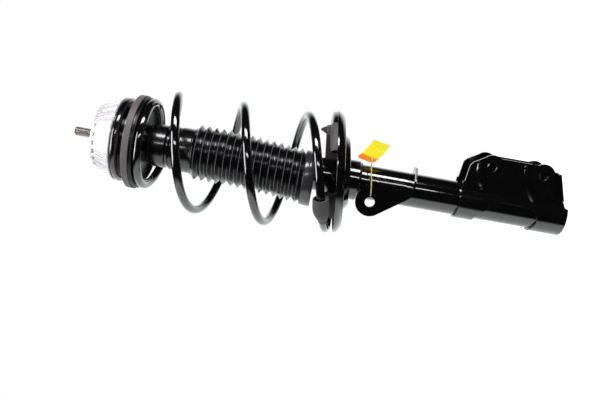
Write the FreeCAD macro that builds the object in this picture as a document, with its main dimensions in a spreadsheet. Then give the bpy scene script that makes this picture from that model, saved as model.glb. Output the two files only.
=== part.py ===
import FreeCAD, Part

import math
import os

import Sketcher

# Front suspension strut: coil spring over a twin-tube damper, with top mount and brackets.
# Millimetres. +Z runs up the strut axis, and the origin is on that axis at the top face of
# the mount cone, where the threaded stud leaves it. The knuckle flanges point along +X.

Vector = FreeCAD.Vector

# Driving dimensions: one sheet cell each. Heights are measured down from the origin.
DRIVING = {
    "stud_length": 33.5, "stud_radius": 6.0, "shank_radius": 5.4, "edge_break": 1.0,
    "cone_height": 17.8, "cone_top_radius": 41.0, "cone_base_radius": 52.3,
    "cone_well_radius": 17.0, "cone_well_depth": 12.0, "cone_bore_radius": 9.2,
    "flute_count": 24, "flute_width": 6.6, "flute_depth": 3.2, "flute_rim": 3.0,
    "nut_height": 9.0, "nut_across_flats": 19.0, "washer_thickness": 2.0,
    "washer_radius": 14.0, "thread_gap": 0.05, "sleeve_radius": 9.1,
    "rubber_depth": 47.5, "rubber_crown_radius": 56.0, "rubber_neck_radius": 47.0,
    "cover_radius": 62.0, "cover_thickness": 2.0, "cover_skirt": 8.3, "cover_wall": 3.0,
    "race_inner_radius": 32.0, "race_outer_radius": 44.0, "race_thickness": 3.0,
    "ball_radius": 3.2, "ball_pitch_radius": 38.0, "ball_depth": 55.0, "ball_count": 24,
    "ball_gap": 0.1, "cage_inner_radius": 34.0, "cage_outer_radius": 42.0,
    "cage_thickness": 2.0,
    "seat_radius": 60.5, "seat_top_depth": 56.3, "seat_thickness": 2.2,
    "seat_hub_radius": 47.0, "hub_plate": 2.0, "seat_hub_depth": 62.5, "seat_bore_radius": 14.0,
    "pad_thickness": 2.0, "pad_skirt_depth": 66.0, "pad_skirt_wall": 1.5,
    "wire_radius": 5.5, "coil_radius": 75.0, "end_coil_radius": 54.7,
    "coil_pitch": 89.0, "coil_first_top_depth": 100.4,
    "rod_radius": 10.0, "rod_depth": 334.0, "rod_shoulder_depth": 49.5,
    "rod_tail_radius": 6.0, "rod_tail_depth": 302.0,
    "cup_radius": 19.0, "cup_depth": 63.2, "cup_height": 6.0, "cup_wall": 1.2,
    "bumper_radius": 17.5, "bumper_waist_radius": 14.0, "bumper_depth": 118.0,
    "rod_gap": 0.3,
    "boot_top_depth": 62.5, "boot_collar_radius": 27.5, "boot_groove_radius": 24.8,
    "boot_smooth_radius": 29.6, "boot_crest_radius": 36.5, "boot_valley_radius": 29.0,
    "boot_first_crest_depth": 135.0, "boot_pleat_pitch": 9.8, "boot_pleat_count": 15,
    "boot_bore_radius": 26.6, "boot_collar_bore_radius": 23.0, "boot_cuff_depth": 289.0,
    "tube_radius": 22.5, "tube_wall": 2.5, "tube_top_depth": 231.0,
    "tube_bottom_depth": 616.0, "cap_wall": 1.2, "cap_height": 10.0, "cap_bore_radius": 11.0,
    "seal_height": 6.0, "guide_height": 18.0, "guide_spigot": 6.0,
    "cylinder_radius": 16.5, "cylinder_wall": 1.5, "cylinder_bottom_depth": 596.0,
    "slide_gap": 0.05, "piston_top_depth": 306.0, "piston_height": 18.0,
    "piston_radius": 14.5, "band_height": 9.0, "band_radius": 14.95, "band_wall": 1.2,
    "disc_radius": 12.0, "disc_thickness": 0.8, "disc_count": 3,
    "stop_radius": 13.0, "stop_top_depth": 255.5, "stop_height": 22.0,
    "end_cap_height": 6.0, "base_valve_height": 14.0,
    "perch_offset": 6.8, "perch_depth": 321.4, "perch_tilt": 7.8, "perch_radius": 81.7,
    "perch_floor": 10.0, "perch_wall": 2.5, "perch_floor_radius": 75.0,
    "perch_step_radius": 44.0, "perch_step": 8.0, "perch_lip": 1.6,
    "collar_radius": 26.5, "collar_top_depth": 330.0, "collar_bottom_depth": 348.2,
    "lower_pad_outer_radius": 77.5, "lower_pad_inner_radius": 58.0, "lower_pad_wall": 5.0,
    "lower_pad_collar": 9.0, "cradle_radius": 11.5, "cradle_length": 24.0, "cradle_drop": 4.0,
    "cradle_foot": 18.5, "cradle_foot_radius": 7.0, "cradle_lip": 3.0,
    "sheet_thickness": 3.0, "link_hole_depth": 366.0, "link_hole_offset": 21.2,
    "link_hole_radius": 6.5, "link_lobe_radius": 19.0, "link_end_depth": 420.5,
    "link_ear_reach": 31.6,
    "knuckle_top_depth": 480.0, "knuckle_bottom_depth": 620.0, "knuckle_gap": 34.0,
    "knuckle_hole_offset": 50.8, "knuckle_upper_hole_depth": 512.4,
    "knuckle_lower_hole_depth": 579.0, "knuckle_hole_radius": 6.3,
    "knuckle_ear_radius": 15.0, "knuckle_edge_offset": 63.0, "bead_radius": 2.1,
    "lip_reach": 10.0,
    "string_radius": 0.8, "label_width": 21.0, "label_length": 32.5, "label_thickness": 0.8,
    "label_hole_inset": 2.6, "label_lean": 121.5,
}

document = FreeCAD.newDocument("strut_assembly")
sheet = document.addObject("Spreadsheet::Sheet", "Sizes")
for row, (alias, number) in enumerate(DRIVING.items(), start=1):
    sheet.set("A%d" % row, alias)
    sheet.set("B%d" % row, str(number))
    sheet.setAlias("B%d" % row, alias)
document.recompute()


class Size:
    """A length that knows its number and the sheet expression that gives it."""

    def __init__(self, number, text):
        self.number = float(number)
        self.text = text

    def joined(self, sign, other, number):
        other = as_size(other)
        return Size(number(self.number, other.number), "(%s %s %s)" % (self.text, sign, other.text))

    def __add__(self, other):
        return self.joined("+", other, lambda a, b: a + b)

    def __sub__(self, other):
        return self.joined("-", other, lambda a, b: a - b)

    def __mul__(self, other):
        return self.joined("*", other, lambda a, b: a * b)

    def __truediv__(self, other):
        return self.joined("/", other, lambda a, b: a / b)

    def __rsub__(self, other):
        return as_size(other) - self

    def __neg__(self):
        return Size(-self.number, "(0 - %s)" % self.text)


def as_size(value):
    """Return a Size for a plain number, or the Size itself."""
    if isinstance(value, Size):
        return value
    return Size(value, repr(float(value)))


class DrivingSizes:
    """Reads the sheet cells by their alias, as sizes."""

    def __getattr__(self, alias):
        return Size(DRIVING[alias], "Sizes.%s" % alias)


size = DrivingSizes()


def arc_between(start, end, radius):
    """Minor arc from start to end; a positive radius has its centre on the left."""
    chord = end - start
    half = chord.Length / 2.0
    rise = math.sqrt(max(radius * radius - half * half, 0.0))
    left = Vector(-chord.y, chord.x, 0.0).normalize()
    side = 1.0 if radius > 0 else -1.0
    centre = start + chord * 0.5 + left * (rise * side)
    first, last = (start, end) if radius > 0 else (end, start)
    from_angle = math.atan2(first.y - centre.y, first.x - centre.x)
    to_angle = math.atan2(last.y - centre.y, last.x - centre.x)
    if to_angle < from_angle:
        to_angle += 2.0 * math.pi
    circle = Part.Circle(centre, Vector(0, 0, 1), abs(radius))
    return Part.ArcOfCircle(circle, from_angle, to_angle)


def add_outline(sketch, corners):
    """Add a closed outline whose corners, and the radii of its arcs, follow the sheet.

    A corner is (across, up) or (across, up, radius), where the radius bends the edge that
    leaves the corner: positive has its centre on the left of the way round.
    """
    corners = [tuple(as_size(value) for value in corner) for corner in corners]
    first = sketch.GeometryCount
    ends = []
    for index, corner in enumerate(corners):
        following = corners[(index + 1) % len(corners)]
        start = Vector(corner[0].number, corner[1].number, 0)
        end = Vector(following[0].number, following[1].number, 0)
        if len(corner) == 3:
            sketch.addGeometry(arc_between(start, end, corner[2].number), False)
            ends.append((1, 2) if corner[2].number > 0 else (2, 1))
        else:
            sketch.addGeometry(Part.LineSegment(start, end), False)
            ends.append((1, 2))
    for index, corner in enumerate(corners):
        edge = first + index
        following = (index + 1) % len(corners)
        sketch.addConstraint(Sketcher.Constraint(
            "Coincident", edge, ends[index][1], first + following, ends[following][0]))
        for kind, place in (("DistanceX", corner[0]), ("DistanceY", corner[1])):
            number = sketch.addConstraint(Sketcher.Constraint(
                kind, -1, 1, edge, ends[index][0], place.number))
            sketch.setExpression("Constraints[%d]" % number, place.text)
        if len(corner) == 3:
            bend = corner[2] if corner[2].number > 0 else -corner[2]
            number = sketch.addConstraint(Sketcher.Constraint("Radius", edge, bend.number))
            sketch.setExpression("Constraints[%d]" % number, bend.text)


def add_circle(sketch, across, up, radius):
    """Add a circle whose centre and radius follow the sheet."""
    across, up, radius = as_size(across), as_size(up), as_size(radius)
    centre = Vector(across.number, up.number, 0)
    edge = sketch.addGeometry(Part.Circle(centre, Vector(0, 0, 1), radius.number), False)
    for kind, place in (("DistanceX", across), ("DistanceY", up)):
        number = sketch.addConstraint(Sketcher.Constraint(kind, -1, 1, edge, 3, place.number))
        sketch.setExpression("Constraints[%d]" % number, place.text)
    number = sketch.addConstraint(Sketcher.Constraint("Radius", edge, radius.number))
    sketch.setExpression("Constraints[%d]" % number, radius.text)


def new_body(name):
    """Start a body whose label is the name of its file."""
    body = document.addObject("PartDesign::Body", name)
    body.Label = name
    return body


def new_sketch(body, role, height=0.0):
    """Sketch on an origin plane of the body, moved along the plane's normal by height."""
    sketch = body.newObject("Sketcher::SketchObject", body.Name + "_sketch")
    plane = [item for item in body.Origin.OriginFeatures if item.Role == role][0]
    sketch.AttachmentSupport = [(plane, "")]
    sketch.MapMode = "FlatFace"
    sketch.setExpression("AttachmentOffset.Base.z", as_size(height).text)
    return sketch


def turned(name, corners, body=None):
    """Turn a closed profile of (radius, height) corners about the strut axis."""
    body = body or new_body(name)
    sketch = new_sketch(body, "XZ_Plane")
    add_outline(sketch, corners)
    turn = body.newObject("PartDesign::Revolution", name + "_turn")
    turn.Profile = sketch
    turn.ReferenceAxis = (sketch, ["V_Axis"])
    turn.Angle = 360.0
    body.Tip = turn
    return body


def ring(name, inner, outer, bottom, top):
    """Turned ring with a plain rectangular section."""
    return turned(name, [(inner, bottom), (outer, bottom), (outer, top), (inner, top)])


def pad(body, sketch, length, midplane=False, backwards=False):
    """Pad a sketch by a length that follows the sheet."""
    feature = body.newObject("PartDesign::Pad", body.Name + "_pad")
    feature.Profile = sketch
    feature.setExpression("Length", as_size(length).text)
    feature.Midplane = midplane
    feature.Reversed = backwards
    body.Tip = feature
    return feature


def pocket(body, sketch, length=None):
    """Cut a sketch out of the body, both ways: by a length, or right through."""
    document.recompute()
    before = body.Shape.Volume
    feature = body.newObject("PartDesign::Pocket", body.Name + "_cut")
    feature.Profile = sketch
    feature.Midplane = True
    if length is None:
        feature.Type = "ThroughAll"
    else:
        feature.setExpression("Length", as_size(length).text)
    body.Tip = feature
    document.recompute()
    if not feature.Shape.Volume < before:
        raise RuntimeError("%s cuts nothing" % feature.Name)
    return feature


def repeated(body, feature, count):
    """Repeat a feature evenly round the strut axis."""
    pattern = body.newObject("PartDesign::PolarPattern", body.Name + "_pattern")
    pattern.Originals = [feature]
    pattern.Axis = ([item for item in body.Origin.OriginFeatures if item.Role == "Z_Axis"][0], [""])
    pattern.Angle = 360.0
    pattern.setExpression("Occurrences", as_size(count).text)
    body.Tip = pattern
    document.recompute()
    return pattern


def computed(name, shape):
    """Hold a shape that no parametric feature gives."""
    item = document.addObject("Part::Feature", name)
    item.Shape = shape
    return item


def combined(kind, name, base, tool):
    """Cut or fuse two objects into one."""
    item = document.addObject("Part::" + kind, name)
    item.Base = base
    item.Tool = tool
    return item


# Top mount

def mount_cone():
    """Die-cast cone with axial flutes, a well for the nut and a bore for the sleeve."""
    slope = (size.cone_base_radius - size.cone_top_radius) / size.cone_height
    body = turned("mount_cone", [
        (size.cone_bore_radius, -size.cone_height),
        (size.cone_base_radius, -size.cone_height),
        (size.cone_top_radius + slope * size.edge_break, -size.edge_break),
        (size.cone_top_radius - size.edge_break, 0.0),
        (size.cone_well_radius, 0.0),
        (size.cone_well_radius, -size.cone_well_depth),
        (size.cone_bore_radius, -size.cone_well_depth)])
    sketch = new_sketch(body, "XZ_Plane")
    reach = size.cone_base_radius + size.flute_depth
    add_outline(sketch, [
        (size.cone_top_radius + slope * size.flute_rim - size.flute_depth, -size.flute_rim),
        (size.cone_base_radius - size.flute_depth - slope * size.flute_rim / 2.0,
         -(size.cone_height - size.flute_rim / 2.0)),
        (reach, -(size.cone_height - size.flute_rim / 2.0)),
        (reach, -size.flute_rim)])
    flute = pocket(body, sketch, size.flute_width)
    repeated(body, flute, size.flute_count)
    return body


def mount_rubber():
    """Bonded rubber ring: a full crown over a waisted neck and a foot."""
    top = -size.cone_height
    crown = size.rubber_crown_radius
    neck = size.rubber_neck_radius
    foot = -size.rubber_depth
    return turned("mount_rubber", [
        (size.sleeve_radius, foot), (neck + 6.0, foot), (neck + 6.0, foot + 2.0, -7.2),
        (neck, foot + 8.5), (neck + 1.0, foot + 12.0, 5.6), (crown - 1.0, top - 11.5, 8.0),
        (crown - 1.5, top - 3.2), (crown - 3.2, top - 2.0), (crown - 2.2, top),
        (size.sleeve_radius, top)])


def hexagon(across_flats):
    """Corners of a hexagon, as sizes."""
    radius = across_flats / math.sqrt(3.0)
    return [(radius * math.cos(math.radians(60 * step)), radius * math.sin(math.radians(60 * step)))
            for step in range(6)]


def hex_nut(name, across_flats, top, height, bore):
    """Hexagon nut hanging down from top, with a plain bore."""
    body = new_body(name)
    sketch = new_sketch(body, "XY_Plane", top - height)
    add_outline(sketch, hexagon(across_flats))
    add_circle(sketch, 0.0, 0.0, bore)
    pad(body, sketch, height)
    return body


def piston_rod():
    """Rod with its threaded stud, the clamped shank, the ground rod and the piston tail."""
    tip = size.stud_length
    return turned("piston_rod", [
        (0.0, -size.rod_depth), (size.rod_tail_radius - size.edge_break, -size.rod_depth),
        (size.rod_tail_radius, size.edge_break - size.rod_depth),
        (size.rod_tail_radius, -size.rod_tail_depth), (size.rod_radius, -size.rod_tail_depth),
        (size.rod_radius, -size.rod_shoulder_depth), (size.shank_radius, -size.rod_shoulder_depth),
        (size.shank_radius, -size.edge_break), (size.stud_radius, -size.edge_break),
        (size.stud_radius, tip - size.edge_break), (size.stud_radius - size.edge_break, tip),
        (0.0, tip)])


def bump_stop():
    """Bump stop: foam sleeve with three rolls that get slimmer downwards."""
    top = -(size.cup_depth + size.cup_wall)
    bore = size.rod_radius + size.rod_gap
    waist = size.bumper_waist_radius
    full = size.bumper_radius
    step = (size.bumper_depth - size.cup_depth - size.cup_wall) / 3.0
    return turned("bump_stop", [
        (bore, -size.bumper_depth), (waist - 1.5, -size.bumper_depth, 12.0),
        (waist - 1.0, top - step * 2.0), (waist - 1.0, top - step * 2.0 + 1.5, 12.0),
        (waist, top - step), (waist, top - step + 1.5, 14.0), (full, top), (bore, top)])


def shank_bore():
    """Bore of the pieces that are clamped on the shank."""
    return size.shank_radius + size.thread_gap


def mount_sleeve():
    """Steel sleeve bonded into the rubber, clamped between washer and bearing cover."""
    return ring("mount_sleeve", shank_bore(), size.sleeve_radius, -size.rubber_depth,
                -size.cone_well_depth)


def nut_washer():
    """Flat washer in the well of the cone."""
    shelf = -size.cone_well_depth
    return ring("nut_washer", shank_bore(), size.washer_radius, shelf,
                shelf + size.washer_thickness)


def rod_nut():
    """Hexagon nut that clamps the mount on the rod."""
    top = size.washer_thickness + size.nut_height - size.cone_well_depth
    return hex_nut("rod_nut", size.nut_across_flats, top, size.nut_height, shank_bore())


def bearing_cover():
    """Moulded cover of the thrust bearing, with a skirt round the seat."""
    under = -(size.rubber_depth + size.cover_thickness)
    inside = size.cover_radius - size.cover_wall
    skirt = -(size.rubber_depth + size.cover_skirt)
    top = -size.rubber_depth
    return turned("bearing_cover", [
        (shank_bore(), under), (inside, under), (inside, skirt), (size.cover_radius, skirt),
        (size.cover_radius, top - size.edge_break), (size.cover_radius - size.edge_break, top),
        (shank_bore(), top)])


def bump_cup():
    """Thin steel cup that backs the bump stop."""
    rod = size.rod_radius + size.thread_gap
    back = -size.cup_depth
    return ring("bump_cup", rod, size.cup_radius, back - size.cup_wall, back)


# Thrust bearing between the fixed mount and the turning seat

def race(name, bottom, top):
    """Race ring whose groove follows the balls."""
    blank = ring(name + "_blank", size.race_inner_radius, size.race_outer_radius, bottom, top)
    track = document.addObject("Part::Torus", name + "_track")
    track.setExpression("Radius1", size.ball_pitch_radius.text)
    track.setExpression("Radius2", (size.ball_radius + size.ball_gap).text)
    track.setExpression("Placement.Base.z", (-size.ball_depth).text)
    return combined("Cut", name + "_grooved", blank, track)


def upper_race():
    """Race under the bearing cover."""
    top = -(size.rubber_depth + size.cover_thickness)
    return race("upper_race", top - size.race_thickness, top)


def lower_race():
    """Race on the hub plate of the upper seat."""
    bottom = size.hub_plate - size.seat_hub_depth
    return race("lower_race", bottom, bottom + size.race_thickness)


def bearing_cage():
    """Flat cage with one window for each ball."""
    body = new_body("bearing_cage")
    sketch = new_sketch(body, "XY_Plane", -(size.ball_depth + size.cage_thickness / 2.0))
    add_circle(sketch, 0.0, 0.0, size.cage_outer_radius)
    add_circle(sketch, 0.0, 0.0, size.cage_inner_radius)
    pad(body, sketch, size.cage_thickness)
    window = new_sketch(body, "XY_Plane", -size.ball_depth)
    add_circle(window, size.ball_pitch_radius, 0.0, size.ball_radius + size.ball_gap)
    hole = pocket(body, window)
    repeated(body, hole, size.ball_count)
    return body


def bearing_balls():
    """All the balls of the bearing, as separate solids in one node."""
    count = int(DRIVING["ball_count"])
    balls = []
    for step in range(count):
        turn = 2.0 * math.pi * step / count
        centre = Vector(math.cos(turn), math.sin(turn), 0) * DRIVING["ball_pitch_radius"]
        centre.z = -DRIVING["ball_depth"]
        balls.append(Part.makeSphere(DRIVING["ball_radius"], centre))
    return computed("bearing_balls", Part.makeCompound(balls))


# Seat, spring and dust boot

def upper_seat():
    """Pressed seat: hub plate under the bearing, riser and outer flange."""
    hub = size.seat_hub_radius
    low = -size.seat_hub_depth
    high = -size.seat_top_depth
    wall = size.seat_thickness
    return turned("upper_seat", [
        (size.seat_bore_radius, low), (hub, low), (hub, high - wall),
        (size.seat_radius, high - wall), (size.seat_radius, high), (hub - wall, high),
        (hub - wall, low + size.hub_plate), (size.seat_bore_radius, low + size.hub_plate)])


def upper_spring_pad():
    """Rubber ring between the seat and the closed end coil, with an inner skirt."""
    top = -(size.seat_top_depth + size.seat_thickness)
    under = top - size.pad_thickness
    inner = size.seat_hub_radius
    return turned("upper_spring_pad", [
        (inner, -size.pad_skirt_depth), (inner + size.pad_skirt_wall, -size.pad_skirt_depth),
        (inner + size.pad_skirt_wall, under), (size.seat_radius, under), (size.seat_radius, top),
        (inner, top)])


WIRE_RADIUS = DRIVING["wire_radius"]
TURN_DROP = DRIVING["coil_pitch"] / 360.0
UPPER_TIP_ANGLE = -100.0
LEAVE_UPPER_RADIUS_ANGLE = 180.0
FIRST_TOP_ANGLE = 360.0
EASE_LOWER_ANGLE = 1090.0
LOWER_TIP_ANGLE = 1515.0
SHIFT_START_ANGLE = 1080.0
SHIFT_END_ANGLE = 1380.0
CRADLE_ANGLE = 1196.0
CRADLE_SPAN = 24.0
SEAT_GAP = 0.3


def eased(value, start, end):
    """Smooth step from 0 at start to 1 at end."""
    share = min(max((value - start) / (end - start), 0.0), 1.0)
    return share * share * (3.0 - 2.0 * share)


def lower_ease():
    """Angle over which the pitch eases off, so that the last coil lies on the pad."""
    tilt = math.cos(math.radians(DRIVING["perch_tilt"]))
    seated = (WIRE_RADIUS + SEAT_GAP) / tilt - DRIVING["perch_depth"]
    reached = -DRIVING["coil_first_top_depth"] - TURN_DROP * (EASE_LOWER_ANGLE - FIRST_TOP_ANGLE)
    return 2.0 * (reached - seated) / TURN_DROP


def coil_point(angle):
    """Centre of the wire at an angle in degrees, counted down the spring from +X."""
    rest_height = -(DRIVING["seat_top_depth"] + DRIVING["seat_thickness"]
                    + DRIVING["pad_thickness"] + SEAT_GAP + WIRE_RADIUS)
    first_top = -DRIVING["coil_first_top_depth"]
    ease = 2.0 * (rest_height - first_top) / TURN_DROP
    if angle < FIRST_TOP_ANGLE:
        along = max(angle - (FIRST_TOP_ANGLE - ease), 0.0)
        height = rest_height - TURN_DROP * along * along / (2.0 * ease)
    else:
        span = lower_ease()
        late = min(max(angle - EASE_LOWER_ANGLE, 0.0), span)
        steady = min(angle, EASE_LOWER_ANGLE) - FIRST_TOP_ANGLE
        height = first_top - TURN_DROP * (steady + late - late * late / (2.0 * span))
    grow = eased(angle, LEAVE_UPPER_RADIUS_ANGLE, FIRST_TOP_ANGLE)
    radius = DRIVING["end_coil_radius"] * (1.0 - grow) + DRIVING["coil_radius"] * grow
    tilt = math.radians(DRIVING["perch_tilt"])
    seated = DRIVING["perch_offset"] - (WIRE_RADIUS + SEAT_GAP) * math.sin(tilt)
    centre = seated * eased(angle, SHIFT_START_ANGLE, SHIFT_END_ANGLE)
    turn = math.radians(angle)
    x = centre + radius * math.cos(turn)
    y = -radius * math.sin(turn)
    leaning = EASE_LOWER_ANGLE + lower_ease() - FIRST_TOP_ANGLE
    share = min(max((angle - FIRST_TOP_ANGLE) / leaning, 0.0), 1.0)
    lean = math.tan(tilt) * share
    return Vector(x, y, height + lean * (x - centre))


def coil_direction(angle):
    """Unit direction of the wire at an angle."""
    step = 0.01
    return (coil_point(angle + step) - coil_point(angle - step)).normalize()


def arc_from(start, direction, end):
    """Arc that leaves start along a direction and reaches end."""
    chord = end - start
    along = chord * (1.0 / chord.Length)
    across = direction - along * direction.dot(along)
    if across.Length < 1e-7:
        return Part.LineSegment(start, end).toShape()
    turn = math.acos(min(max(direction.dot(along), -1.0), 1.0))
    middle = start + chord * 0.5 + across.normalize() * (chord.Length / 2.0 * math.tan(turn / 2.0))
    return Part.Arc(start, middle, end).toShape()


def biarc(start, leaving, end, arriving):
    """Two arcs that join two points with the given directions."""
    gap = end - start
    both = leaving + arriving
    lean = 2.0 * (1.0 - leaving.dot(arriving))
    reach = (-gap.dot(both) + math.sqrt(gap.dot(both) ** 2 + lean * gap.dot(gap))) / lean
    middle = (start + end + (leaving - arriving) * reach) * 0.5
    second = arc_from(end, -arriving, middle)
    return arc_from(start, leaving, middle), second


def pipe(path, start, direction, radius):
    """Round tube along a wire, as one solid."""
    ring_edge = Part.Circle(start, direction, radius).toShape()
    shell = Part.BRepOffsetAPI.MakePipeShell(path)
    shell.add(Part.Wire([ring_edge]))
    shell.build()
    shell.makeSolid()
    return shell.shape()


def coil_spring():
    """Wire of the spring as one unbroken tube on quarter-turn biarcs."""
    quarter = 90.0
    marks = [UPPER_TIP_ANGLE]
    mark = math.ceil(UPPER_TIP_ANGLE / quarter) * quarter
    while mark < LOWER_TIP_ANGLE:
        if mark - marks[-1] > 1.0:
            marks.append(mark)
        mark += quarter
    marks.append(LOWER_TIP_ANGLE)
    straight = 2.0 * WIRE_RADIUS
    first = coil_point(marks[0])
    last = coil_point(marks[-1])
    tip = first - coil_direction(marks[0]) * straight
    tail = last + coil_direction(marks[-1]) * straight
    edges = [Part.LineSegment(tip, first).toShape()]
    for here, there in zip(marks[:-1], marks[1:]):
        edges.extend(biarc(coil_point(here), coil_direction(here),
                           coil_point(there), coil_direction(there)))
    edges.append(Part.LineSegment(last, tail).toShape())
    path = Part.Wire(edges)
    solid = pipe(path, tip, coil_direction(marks[0]), WIRE_RADIUS)
    section = math.pi * WIRE_RADIUS ** 2
    print("spring volume over section times length %.4f" % (solid.Volume / (section * path.Length)))
    print("spring least gap between turns %.2f mm" % least_gap(edges))
    print("spring wire length %.0f mm" % path.Length)
    return computed("coil_spring", solid)


def least_gap(edges):
    """Least clear gap of the tube to itself, measured on points along its path."""
    points = []
    along = 0.0
    for edge in edges:
        for share in range(12):
            first, last = edge.ParameterRange
            points.append((along + edge.Length * share / 12.0,
                           edge.valueAt(first + (last - first) * share / 12.0)))
        along += edge.Length
    near = math.pi * DRIVING["end_coil_radius"]
    gaps = [(a[1] - b[1]).Length for index, a in enumerate(points)
            for b in points[index + 1:] if b[0] - a[0] > near]
    return min(gaps) - 2.0 * WIRE_RADIUS


def dust_boot():
    """Dust boot: collar, bead and plain neck, then the pleats, then the loose cuff."""
    crest, valley = DRIVING["boot_crest_radius"], DRIVING["boot_valley_radius"]
    collar, groove = DRIVING["boot_collar_radius"], DRIVING["boot_groove_radius"]
    smooth, top = DRIVING["boot_smooth_radius"], -DRIVING["boot_top_depth"]
    pitch = DRIVING["boot_pleat_pitch"]
    count = int(DRIVING["boot_pleat_count"])
    first = -DRIVING["boot_first_crest_depth"]
    flat = 0.5
    stations = [(top, collar - 1.5), (top - 3.0, collar), (top - 26.0, collar),
                (top - 27.0, groove), (top - 30.0, groove), (top - 31.5, collar + 0.5),
                (top - 43.0, collar + 0.5), (top - 44.0, smooth - 2.0), (top - 45.0, smooth),
                (first + 7.0, smooth), (first + 6.0, valley)]
    for step in range(count):
        peak = first - pitch * step
        stations += [(peak + pitch / 2.0 - flat, valley), (peak + flat, crest),
                     (peak - flat, crest), (peak - pitch / 2.0 + flat, valley)]
    cuff_top = first - pitch * (count - 0.5) - flat
    stations += [(cuff_top, crest), (-DRIVING["boot_cuff_depth"], crest)]
    rings = [Part.Wire([Part.Circle(Vector(0, 0, height), Vector(0, 0, 1), radius).toShape()])
             for height, radius in stations]
    outside = Part.makeLoft(rings, True, True)
    neck = first + 25.0
    bottom = -DRIVING["boot_cuff_depth"]
    bores = [(DRIVING["boot_collar_bore_radius"], top + 1.0, neck),
             (DRIVING["boot_bore_radius"], neck, cuff_top - 2.5),
             (crest - 2.5, cuff_top - 2.5, bottom - 1.0)]
    for radius, high, low in bores:
        bore = Part.makeCylinder(radius, high - low, Vector(0, 0, low))
        outside = outside.cut(bore)
    return computed("dust_boot", outside)


# Damper

def tube_bore():
    """Inner radius of the outer tube."""
    return size.tube_radius - size.tube_wall


def cylinder_bore():
    """Inner radius of the inner cylinder."""
    return size.cylinder_radius - size.cylinder_wall


def guide_top():
    """Height of the top face of the rod guide, under the seal."""
    return -(size.tube_top_depth + size.seal_height)


def gland_cap():
    """Pressed cap over the top of the tube."""
    top = -size.tube_top_depth
    outer = size.tube_radius + size.cap_wall
    crown = top + size.cap_wall * 1.5
    return turned("gland_cap", [
        (size.cap_bore_radius, top), (size.tube_radius, top),
        (size.tube_radius, top - size.cap_height), (outer, top - size.cap_height),
        (outer, top), (outer - size.cap_wall, crown), (size.cap_bore_radius, crown)])


def rod_seal():
    """Lip seal round the rod."""
    rod = size.rod_radius + size.slide_gap
    return ring("rod_seal", rod, tube_bore(), guide_top(), -size.tube_top_depth)


def rod_guide():
    """Sintered guide with a spigot in the inner cylinder."""
    rod = size.rod_radius + size.slide_gap
    top = guide_top()
    bottom = top - size.guide_height
    ledge = bottom + size.guide_spigot
    return turned("rod_guide", [
        (rod, bottom), (cylinder_bore(), bottom), (cylinder_bore(), ledge), (tube_bore(), ledge),
        (tube_bore(), top), (rod, top)])


def inner_cylinder():
    """Working cylinder between the base valve and the rod guide."""
    top = guide_top() - size.guide_height + size.guide_spigot
    return ring("inner_cylinder", cylinder_bore(), size.cylinder_radius,
                -size.cylinder_bottom_depth, top)


def base_valve():
    """Foot valve that centres the inner cylinder in the tube."""
    seat = -size.cylinder_bottom_depth
    half = size.base_valve_height / 2.0
    return turned("base_valve", [
        (0.0, seat - half * 2.0), (tube_bore(), seat - half * 2.0), (tube_bore(), seat - half),
        (size.cylinder_radius, seat), (cylinder_bore(), seat), (cylinder_bore(), seat + half),
        (0.0, seat + half)])


def tail_bore():
    """Bore of the pieces on the tail of the rod."""
    return size.rod_tail_radius + size.thread_gap


def piston():
    """Piston with a groove for its band."""
    top = -size.piston_top_depth
    low = top - size.piston_height
    band_low = top - (size.piston_height + size.band_height) / 2.0
    band_top = band_low + size.band_height
    groove = size.band_radius - size.band_wall
    return turned("piston", [
        (tail_bore(), low), (size.piston_radius, low), (size.piston_radius, band_low),
        (groove, band_low), (groove, band_top), (size.piston_radius, band_top),
        (size.piston_radius, top), (tail_bore(), top)])


def piston_band():
    """Bearing band in the groove of the piston."""
    bottom = -size.piston_top_depth - (size.piston_height + size.band_height) / 2.0
    return ring("piston_band", size.band_radius - size.band_wall, size.band_radius, bottom,
                bottom + size.band_height)


def valve_discs():
    """Stack of shims on the piston."""
    top = -size.piston_top_depth
    return ring("valve_discs", tail_bore(), size.disc_radius, top,
                top + size.disc_thickness * size.disc_count)


def piston_nut():
    """Hexagon nut under the piston."""
    top = -(size.piston_top_depth + size.piston_height)
    return hex_nut("piston_nut", size.nut_across_flats, top, size.nut_height, tail_bore())


def rebound_stop():
    """Collar on the rod that meets the guide at full rebound."""
    top = -size.stop_top_depth
    return ring("rebound_stop", size.rod_radius, size.stop_radius, top - size.stop_height, top)


def strut_tube():
    """Outer tube of the strut."""
    return ring("strut_tube", tube_bore(), size.tube_radius, -size.tube_bottom_depth,
                -size.tube_top_depth)


def end_cap():
    """Closing disc at the bottom of the tube."""
    top = -(size.cylinder_bottom_depth + size.base_valve_height)
    return ring("end_cap", 0.0, tube_bore(), top - size.end_cap_height, top)


# Perch, pad and brackets on the tube

def perch_collar():
    """Stepped ring that carries the perch on the tube."""
    low, high = -size.collar_bottom_depth, -size.collar_top_depth
    step = size.edge_break * 1.5
    return turned("perch_collar", [
        (size.tube_radius, low), (size.collar_radius - step, low),
        (size.collar_radius, low + step), (size.collar_radius, high), (size.tube_radius, high)])


def tube_core(name, radius):
    """Long cylinder on the strut axis, for cutting a bore that fits the tube."""
    core = document.addObject("Part::Cylinder", name)
    core.setExpression("Radius", radius.text)
    core.setExpression("Height", size.tube_bottom_depth.text)
    core.setExpression("Placement.Base.z", (-size.tube_bottom_depth).text)
    return core


def tilted(body):
    """Put a body that was turned about its own axis onto the tilted, offset perch."""
    body.setExpression("Placement.Base.x", size.perch_offset.text)
    body.setExpression("Placement.Base.z", (-size.perch_depth).text)
    lean = FreeCAD.Rotation(Vector(0, 1, 0), -DRIVING["perch_tilt"])
    body.Placement = FreeCAD.Placement(
        Vector(DRIVING["perch_offset"], 0, -DRIVING["perch_depth"]), lean)


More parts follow.
